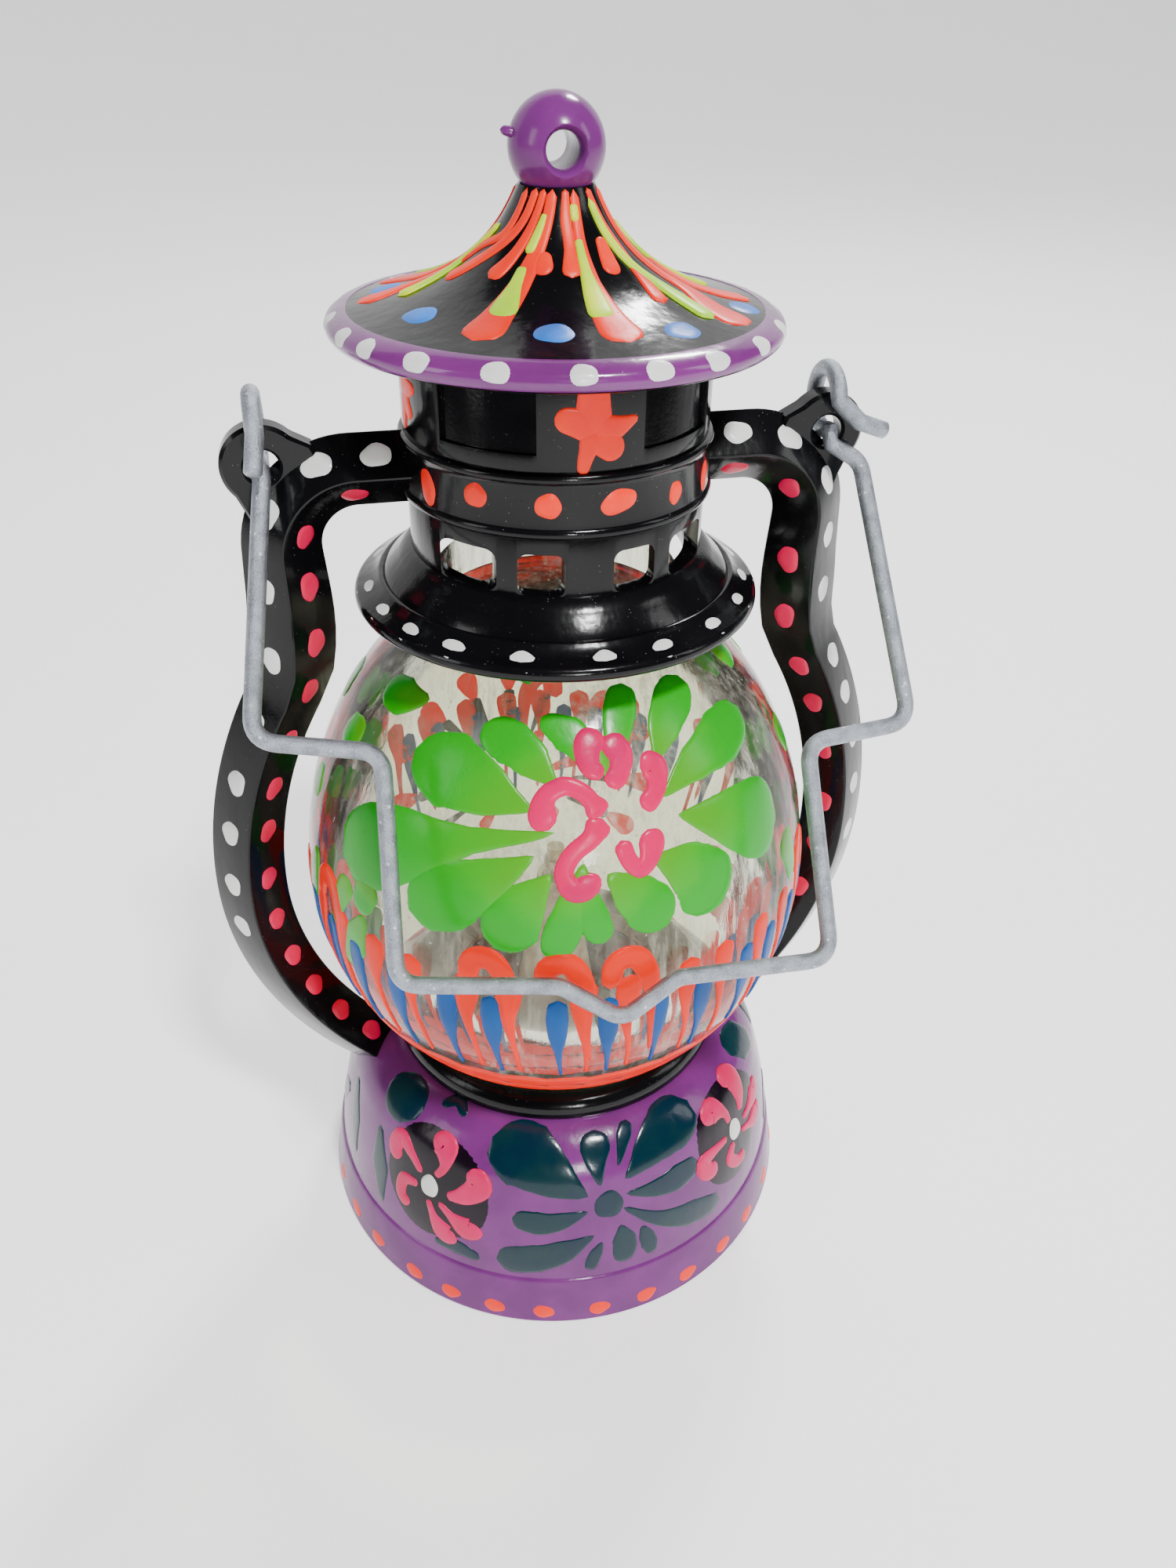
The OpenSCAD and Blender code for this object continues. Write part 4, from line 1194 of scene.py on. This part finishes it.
def make_eye():
    low = roof_h(ROOF_NECK_R)
    a0 = math.degrees(math.asin((low - EYE_Z) / EYE_R))
    ball = arc(0, EYE_Z, EYE_R, a0, 90, 28)[:-1]
    solid = lathe([(0, low)] + ball + [(0, EYE_Z + EYE_R)], segments=96)
    rows = [(0, -8), (EYE_HOLE_R + 1.7, -8), (EYE_HOLE_R + 1.7, -5.0), (EYE_HOLE_R + 0.7, -4.1),
            (EYE_HOLE_R + 0.2, -3.4), (EYE_HOLE_R, -2.8), (EYE_HOLE_R, 2.8),
            (EYE_HOLE_R + 0.2, 3.4), (EYE_HOLE_R + 0.7, 4.1), (EYE_HOLE_R + 1.7, 5.0),
            (EYE_HOLE_R + 1.7, 8), (0, 8)]
    points, faces = lathe(rows, segments=64)
    tool = ([(x, z, y + EYE_Z) for x, y, z in points], faces)
    mesh = cut(solid, [tool], bevel=0.12)
    settle("hanging_eye_ball", mesh, purple, "lamp", ["hanging_eye"])
    nib = Brush(41)
    nib.dot(Flat((-4.0, -0.4, EYE_Z + 1.1), (-1, -0.1, 0.25)), (-4.0, -0.4, EYE_Z + 1.1), 0.6, 0.5,
            thick=1.1, sink=0.5)
    nib.finish("hanging_eye_nib", purple, finish="purple_enamel")


# ---------------------------------------------------------------- arms

def arm_line(fine=1.5):
    """Centre of the arm with its half width and half depth, finely spaced."""
    rows = []
    for a in np.arange(-52, 0, fine):
        t = math.radians(a)
        rows.append((BOW_X - BOW_LOW_R * (1 - math.cos(t)), BOW_Z + BOW_LOW_R * math.sin(t),
                     ARM_W, ARM_D))
    for a in np.arange(0, 30.1, fine):
        t = math.radians(a)
        rows.append((BOW_X - BOW_HIGH_R * (1 - math.cos(t)), BOW_Z + BOW_HIGH_R * math.sin(t),
                     ARM_W, ARM_D))
    rows += [(28.2, 80.4, ARM_W + 0.35, ARM_D), (27.9, 82.5, ARM_W + 0.45, ARM_D),
             (27.75, 84.5, ARM_W + 0.5, ARM_D), (27.65, 86.5, ARM_W + 0.45, ARM_D),
             (27.6, 88.6, ARM_W + 0.3, ARM_D)]
    for a in np.arange(0, 90.1, 5):
        t = math.radians(a)
        rows.append((CORNER_X + CORNER_R * math.cos(t), CORNER_Z + CORNER_R * math.sin(t),
                     ARM_W - 0.35 * a / 90, ARM_D - 0.4 * a / 90))
    rows.append((14.2, CORNER_Z + CORNER_R, 3.7, ARM_D - 0.4))
    return np.array(rows)


ARM = arm_line()
ARM_RUN = np.concatenate([[0], np.cumsum(np.linalg.norm(np.diff(ARM[:, :2], axis=0), axis=1))])


def arm_frame(s):
    """Centre, direction, outward direction and half sizes of the right arm at length s."""
    x, z, w, d = (float(np.interp(s, ARM_RUN, ARM[:, k])) for k in range(4))
    step = 0.4
    a = [float(np.interp(s - step, ARM_RUN, ARM[:, k])) for k in (0, 1)]
    b = [float(np.interp(s + step, ARM_RUN, ARM[:, k])) for k in (0, 1)]
    run = np.array([b[0] - a[0], 0.0, b[1] - a[1]])
    run /= np.linalg.norm(run)
    out = np.array([run[2], 0.0, -run[0]])
    return np.array([x, 0.0, z]), run, out, w, d


def diamond(w, d, soft=0.35, steps=3):
    """Points of a diamond section with softened corners: (outward, toward the back)."""
    corners = [(w, 0.0), (0.0, -d), (-w, 0.0), (0.0, d)]
    out = []
    for k, corner in enumerate(corners):
        before, after = np.array(corners[k - 1]), np.array(corners[(k + 1) % 4])
        c = np.array(corner)
        u = (before - c) / np.linalg.norm(before - c) * soft
        v = (after - c) / np.linalg.norm(after - c) * soft
        for i in range(steps + 1):
            t = i / steps
            out.append(c + u * (1 - t) ** 2 + v * t ** 2)
    return out


def star_outline(count=72):
    """Outline of the lug and its web as seen from the lug's hole."""
    web = np.array([(22.6, 101), (23.6, 103.6), (27.4, LUG_Z + 3.7), (LUG_X, LUG_Z + LUG_R),
                    (31.3, 99.3), (30.2, 96.8), (29, 93), (26, 96)], float)
    centre = np.array([LUG_X, LUG_Z])
    out = []
    for k in range(count):
        a = 2 * math.pi * k / count
        d = np.array([math.cos(a), math.sin(a)])
        reach = LUG_R
        for p, q in zip(web, np.roll(web, -1, axis=0)):
            e = q - p
            m = d[0] * e[1] - d[1] * e[0]
            if abs(m) < 1e-9:
                continue
            w = p - centre
            t = (w[0] * e[1] - w[1] * e[0]) / m
            s = (w[0] * d[1] - w[1] * d[0]) / m
            if t > 0 and -1e-9 <= s <= 1 + 1e-9:
                reach = max(reach, t)
        out.append((a, reach))
    return centre, out


def make_arm(side):
    points, faces = [], []
    rings = []
    for s in ARM_RUN:
        centre, run, out, w, d = arm_frame(s)
        ring = []
        for across, deep in diamond(w, d):
            ring.append(len(points))
            points.append(centre + out * across + np.array([0.0, deep, 0.0]))
        rings.append(ring)
    k = len(rings[0])
    for low, high in zip(rings, rings[1:]):
        for j in range(k):
            faces.append([low[j], low[(j + 1) % k], high[(j + 1) % k], high[j]])
    faces += [rings[0], rings[-1]]

    centre, outline = star_outline()
    n = len(outline)
    start = len(points)
    for y, inset in ((-LUG_T / 2, 0.35), (-LUG_T / 2 + 0.35, 0.0), (LUG_T / 2 - 0.35, 0.0),
                     (LUG_T / 2, 0.35)):
        for a, reach in outline:
            points.append((centre[0] + (reach - inset) * math.cos(a), y,
                           centre[1] + (reach - inset) * math.sin(a)))
    for y, more in ((LUG_T / 2, 0.3), (LUG_T / 2 - 0.3, 0.0), (-LUG_T / 2 + 0.3, 0.0),
                    (-LUG_T / 2, 0.3)):
        for a, _ in outline:
            points.append((centre[0] + (LUG_HOLE_R + more) * math.cos(a), y,
                           centre[1] + (LUG_HOLE_R + more) * math.sin(a)))
    for layer in range(8):
        a, b = start + layer * n, start + (layer + 1) % 8 * n
        for j in range(n):
            m = (j + 1) % n
            faces.append([a + j, a + m, b + m, b + j])
    points = [(side * p[0], p[1], p[2]) for p in points]
    name = "arm_right" if side > 0 else "arm_left"
    piece(name + "_casting", points, faces, black, "lamp", [name], sharp=24)


def arm_dots(side, outer, inner, back_outer, back_inner, name):
    """Cream dots on the outer facets and rose dots on the inner ones."""
    for rows, towards, colour, material in ((outer, 1, "cream", cream), (inner, -1, "rose", rose)):
        places = []
        for front, lengths in ((-1, rows), (1, back_outer if towards > 0 else back_inner)):
            for s in lengths:
                centre, run, out, w, d = arm_frame(s)
                normal = out * towards * d + np.array([0.0, front * w, 0.0])
                spot = centre + out * towards * w / 2 + np.array([0.0, front * d / 2, 0.0])
                mirror = np.array([side, 1.0, 1.0])
                places.append((spot * mirror, normal / np.linalg.norm(normal) * mirror,
                               run * mirror, 1.2, 1.55, 0.2))
        scattered(places, f"{name}_{colour}_dots", material, seed=20 + side + towards, lean=0.25)


def make_arms():
    for side in (-1, 1):
        make_arm(side)
    back_out = [26, 33, 40, 47, 54, 61, 68, 75, 82, 89]
    back_in = [8, 15, 22, 29, 36, 43, 50, 57, 64, 71, 78, 88]
    arm_dots(-1, [31, 37, 44, 50.5, 58, 66.5, 74.5, 81.5, 87, 92],
             [6.5, 12.5, 18.5, 24.5, 31, 37.5, 44.5, 50.5, 57, 63.5, 68.5, 74.5, 80.5, 89.5],
             back_out, back_in, "arm_left")
    arm_dots(1, [33, 40, 47, 53.5, 59, 69, 75.5, 81, 86.5, 91.5],
             [8.5, 16.5, 23.5, 31, 38, 46.5, 54, 60, 66.5, 73, 82.5, 91.5],
             back_out, back_in, "arm_right")


# ---------------------------------------------------------------- bail

def rounded_route(route, r, steps=8):
    """The route with each inner corner rounded to radius r."""
    p = [np.array(q, float) for q in route]
    out = [p[0]]
    for a, b, c in zip(p, p[1:], p[2:]):
        u, v = (a - b) / np.linalg.norm(a - b), (c - b) / np.linalg.norm(c - b)
        half = math.acos(max(-1.0, min(1.0, float(u @ v)))) / 2
        d = min(r / math.tan(half), 0.45 * min(np.linalg.norm(a - b), np.linalg.norm(c - b)))
        out += [b + u * d * (1 - t) ** 2 + v * d * t ** 2 for t in np.linspace(0, 1, steps + 1)]
    return out + [p[-1]]


def hook(x, r):
    return [(x, -r * math.sin(math.radians(a)), r * math.cos(math.radians(a)))
            for a in np.arange(180, 470.1, 7.25)]


def make_bail():
    loose_x, loose_r, tight_r = LUG_X + 0.2, 3.4, 3.05
    legs = [(-32.5, -28.5), (-20.6, -30.9), (-21.9, -53.3), (-6.1, -55.9), (-0.2, -60.2),
            (6, -56.9), (22.6, -57.5), (22.4, -34.8), (34, -34), (31.4, -6.6)]
    route = ([(-loose_x - 0.6, -3.2, -4.8)] + hook(-loose_x, loose_r)[::-1]
             + rounded_route([(-loose_x, 0, -loose_r - 1.2)] + [(x, 0, z) for x, z in legs]
                             + [(LUG_X, 0, -tight_r - 1.6)], 2.6)
             + hook(LUG_X, tight_r) + [(LUG_X + 2, -2.9, -3.3), (LUG_X + 5, -2.3, -4.2)])
    line = [np.array(q, float) for q in route]
    line = [p for k, p in enumerate(line) if k == 0 or np.linalg.norm(p - line[k - 1]) > 0.05]
    c, s = math.cos(-BAIL_REST), math.sin(-BAIL_REST)
    line = [np.array([p[0], p[1] * c - p[2] * s, p[1] * s + p[2] * c + LUG_Z + 3.0]) for p in line]
    dense = []
    for a, b in zip(line, line[1:]):
        pieces = max(1, int(np.linalg.norm(b - a) / 1.5))
        dense += [a + (b - a) * i / pieces for i in range(pieces)]
    dense.append(line[-1])
    sides, points, faces = 16, [], []
    normal = np.array([0.0, 0.31, 0.95])
    last = len(dense) - 1
    rows = []
    for k, p in enumerate(dense):
        t = dense[min(k + 1, last)] - dense[max(k - 1, 0)]
        t /= np.linalg.norm(t)
        normal = normal - t * (t @ normal)
        normal /= np.linalg.norm(normal)
        cross = np.cross(t, normal)
        # Each cut end has a smaller ring, and the full ring a bevel's length further in
        rings = [(WIRE_R, 0.0)]
        if k == 0:
            rings = [(WIRE_R - END_BEVEL, 0.0), (WIRE_R, END_BEVEL)]
        elif k == last:
            rings = [(WIRE_R, -END_BEVEL), (WIRE_R - END_BEVEL, 0.0)]
        for radius, shift in rings:
            rows.append(len(points))
            for j in range(sides):
                a = 2 * math.pi * j / sides
                points.append(p + t * shift
                              + radius * (normal * math.cos(a) + cross * math.sin(a)))
    for low, high in zip(rows, rows[1:]):
        for j in range(sides):
            m = (j + 1) % sides
            faces.append([low + j, low + m, high + m, high + j])
    faces += [[rows[0] + j for j in range(sides)], [rows[-1] + j for j in range(sides)]]
    piece("bail_wire", points, faces, wire_zinc, "bail", ["bail"], sharp=50)


# ---------------------------------------------------------------- carried-over nodes

def finish_nodes():
    """Materials for the plain parts that stay as they are."""
    kept = {"base_cover": cover_paint, "cover_screws": screw_zinc, "arm_screws_top": screw_zinc,
            "arm_screws_foot": screw_zinc, "eye_nut": screw_zinc, "wick": cotton,
            "globe_seat": cork}
    for name, material in kept.items():
        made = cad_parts[name]
        for slot in made.material_slots:
            slot.material = material


# ---------------------------------------------------------------- stage

def make_stage():
    """A pale floor that curves up far behind, and a few soft lamps overhead."""
    wide = 3.0
    side = [(-2.0, -0.0002), (1.0, -0.0002)] + [
        (1.0 + 0.8 * math.sin(math.radians(a)), 0.8 - 0.8 * math.cos(math.radians(a)))
        for a in range(6, 91, 6)] + [(1.8, 2.2)]
    floor = bpy.data.meshes.new("floor")
    floor.from_pydata([(x, y, z) for y, z in side for x in (-wide, wide)], [],
                      [(2 * k, 2 * k + 1, 2 * k + 3, 2 * k + 2) for k in range(len(side) - 1)])
    floor.shade_smooth()
    floor.materials.append(plain_floor("pale_floor"))
    made = linked("floor", floor)

    def lamp(name, place, wide, tall, power):
        light = bpy.data.lights.new(name, "AREA")
        light.shape = "RECTANGLE"
        light.size, light.size_y, light.energy = wide, tall, power
        made = linked(name, light)
        made.location = place
        made.rotation_mode = "QUATERNION"
        made.rotation_quaternion = (Vector((0, 0, 0.06)) - Vector(place)).to_track_quat("-Z", "Y")

    lamp("over_back", (0.30, 0.45, 0.62), 0.12, 0.09, 4.5)
    lamp("over_front", (0.11, -0.34, 0.62), 0.07, 0.07, 5.0)
    lamp("low_front", (0.0, -0.75, 0.27), 0.05, 0.12, 2.0)
    lamp("soft_left", (-0.85, -0.25, 0.42), 0.2, 0.5, 1.5)
    lamp("soft_right", (0.85, -0.35, 0.55), 0.2, 0.5, 1.5)
    world = bpy.data.worlds.new("pale_room")
    bpy.context.scene.world = world
    world.use_nodes = True
    g = Graph(world.node_tree)
    g.node("ShaderNodeOutputWorld", {"Surface": g.node("ShaderNodeBackground", {
        "Color": (0.9, 0.93, 1.0, 1.0), "Strength": 0.1})})


def make_camera():
    """Above and a little left of the front, close to the lantern, with a wide lens."""
    camera = bpy.data.cameras.new("camera")
    camera.lens = 27.0
    camera.sensor_width = 36.0
    camera.clip_start = 0.005
    made = linked("camera", camera)
    ahead = Vector((0.2023, 0.7969, -0.5693)).normalized()
    up = Vector((0.1204, 0.5566, 0.8220))
    right = ahead.cross(up).normalized()
    up = right.cross(ahead)
    made.matrix_world = Matrix.Translation(Vector((-24.6, -112.5, 140.7)) * MM) @ Matrix(
        (right, up, -ahead)).transposed().to_4x4()
    bpy.context.scene.camera = made


finish_nodes()
make_base()
paint_base()
make_ring_and_burner()
make_globe()
globe_flower()
globe_sides()
globe_back()
globe_foot()
make_collar()
make_chimney()
paint_chimney()
make_roof()
paint_roof()
make_eye()
make_arms()
make_bail()
make_stage()
make_camera()
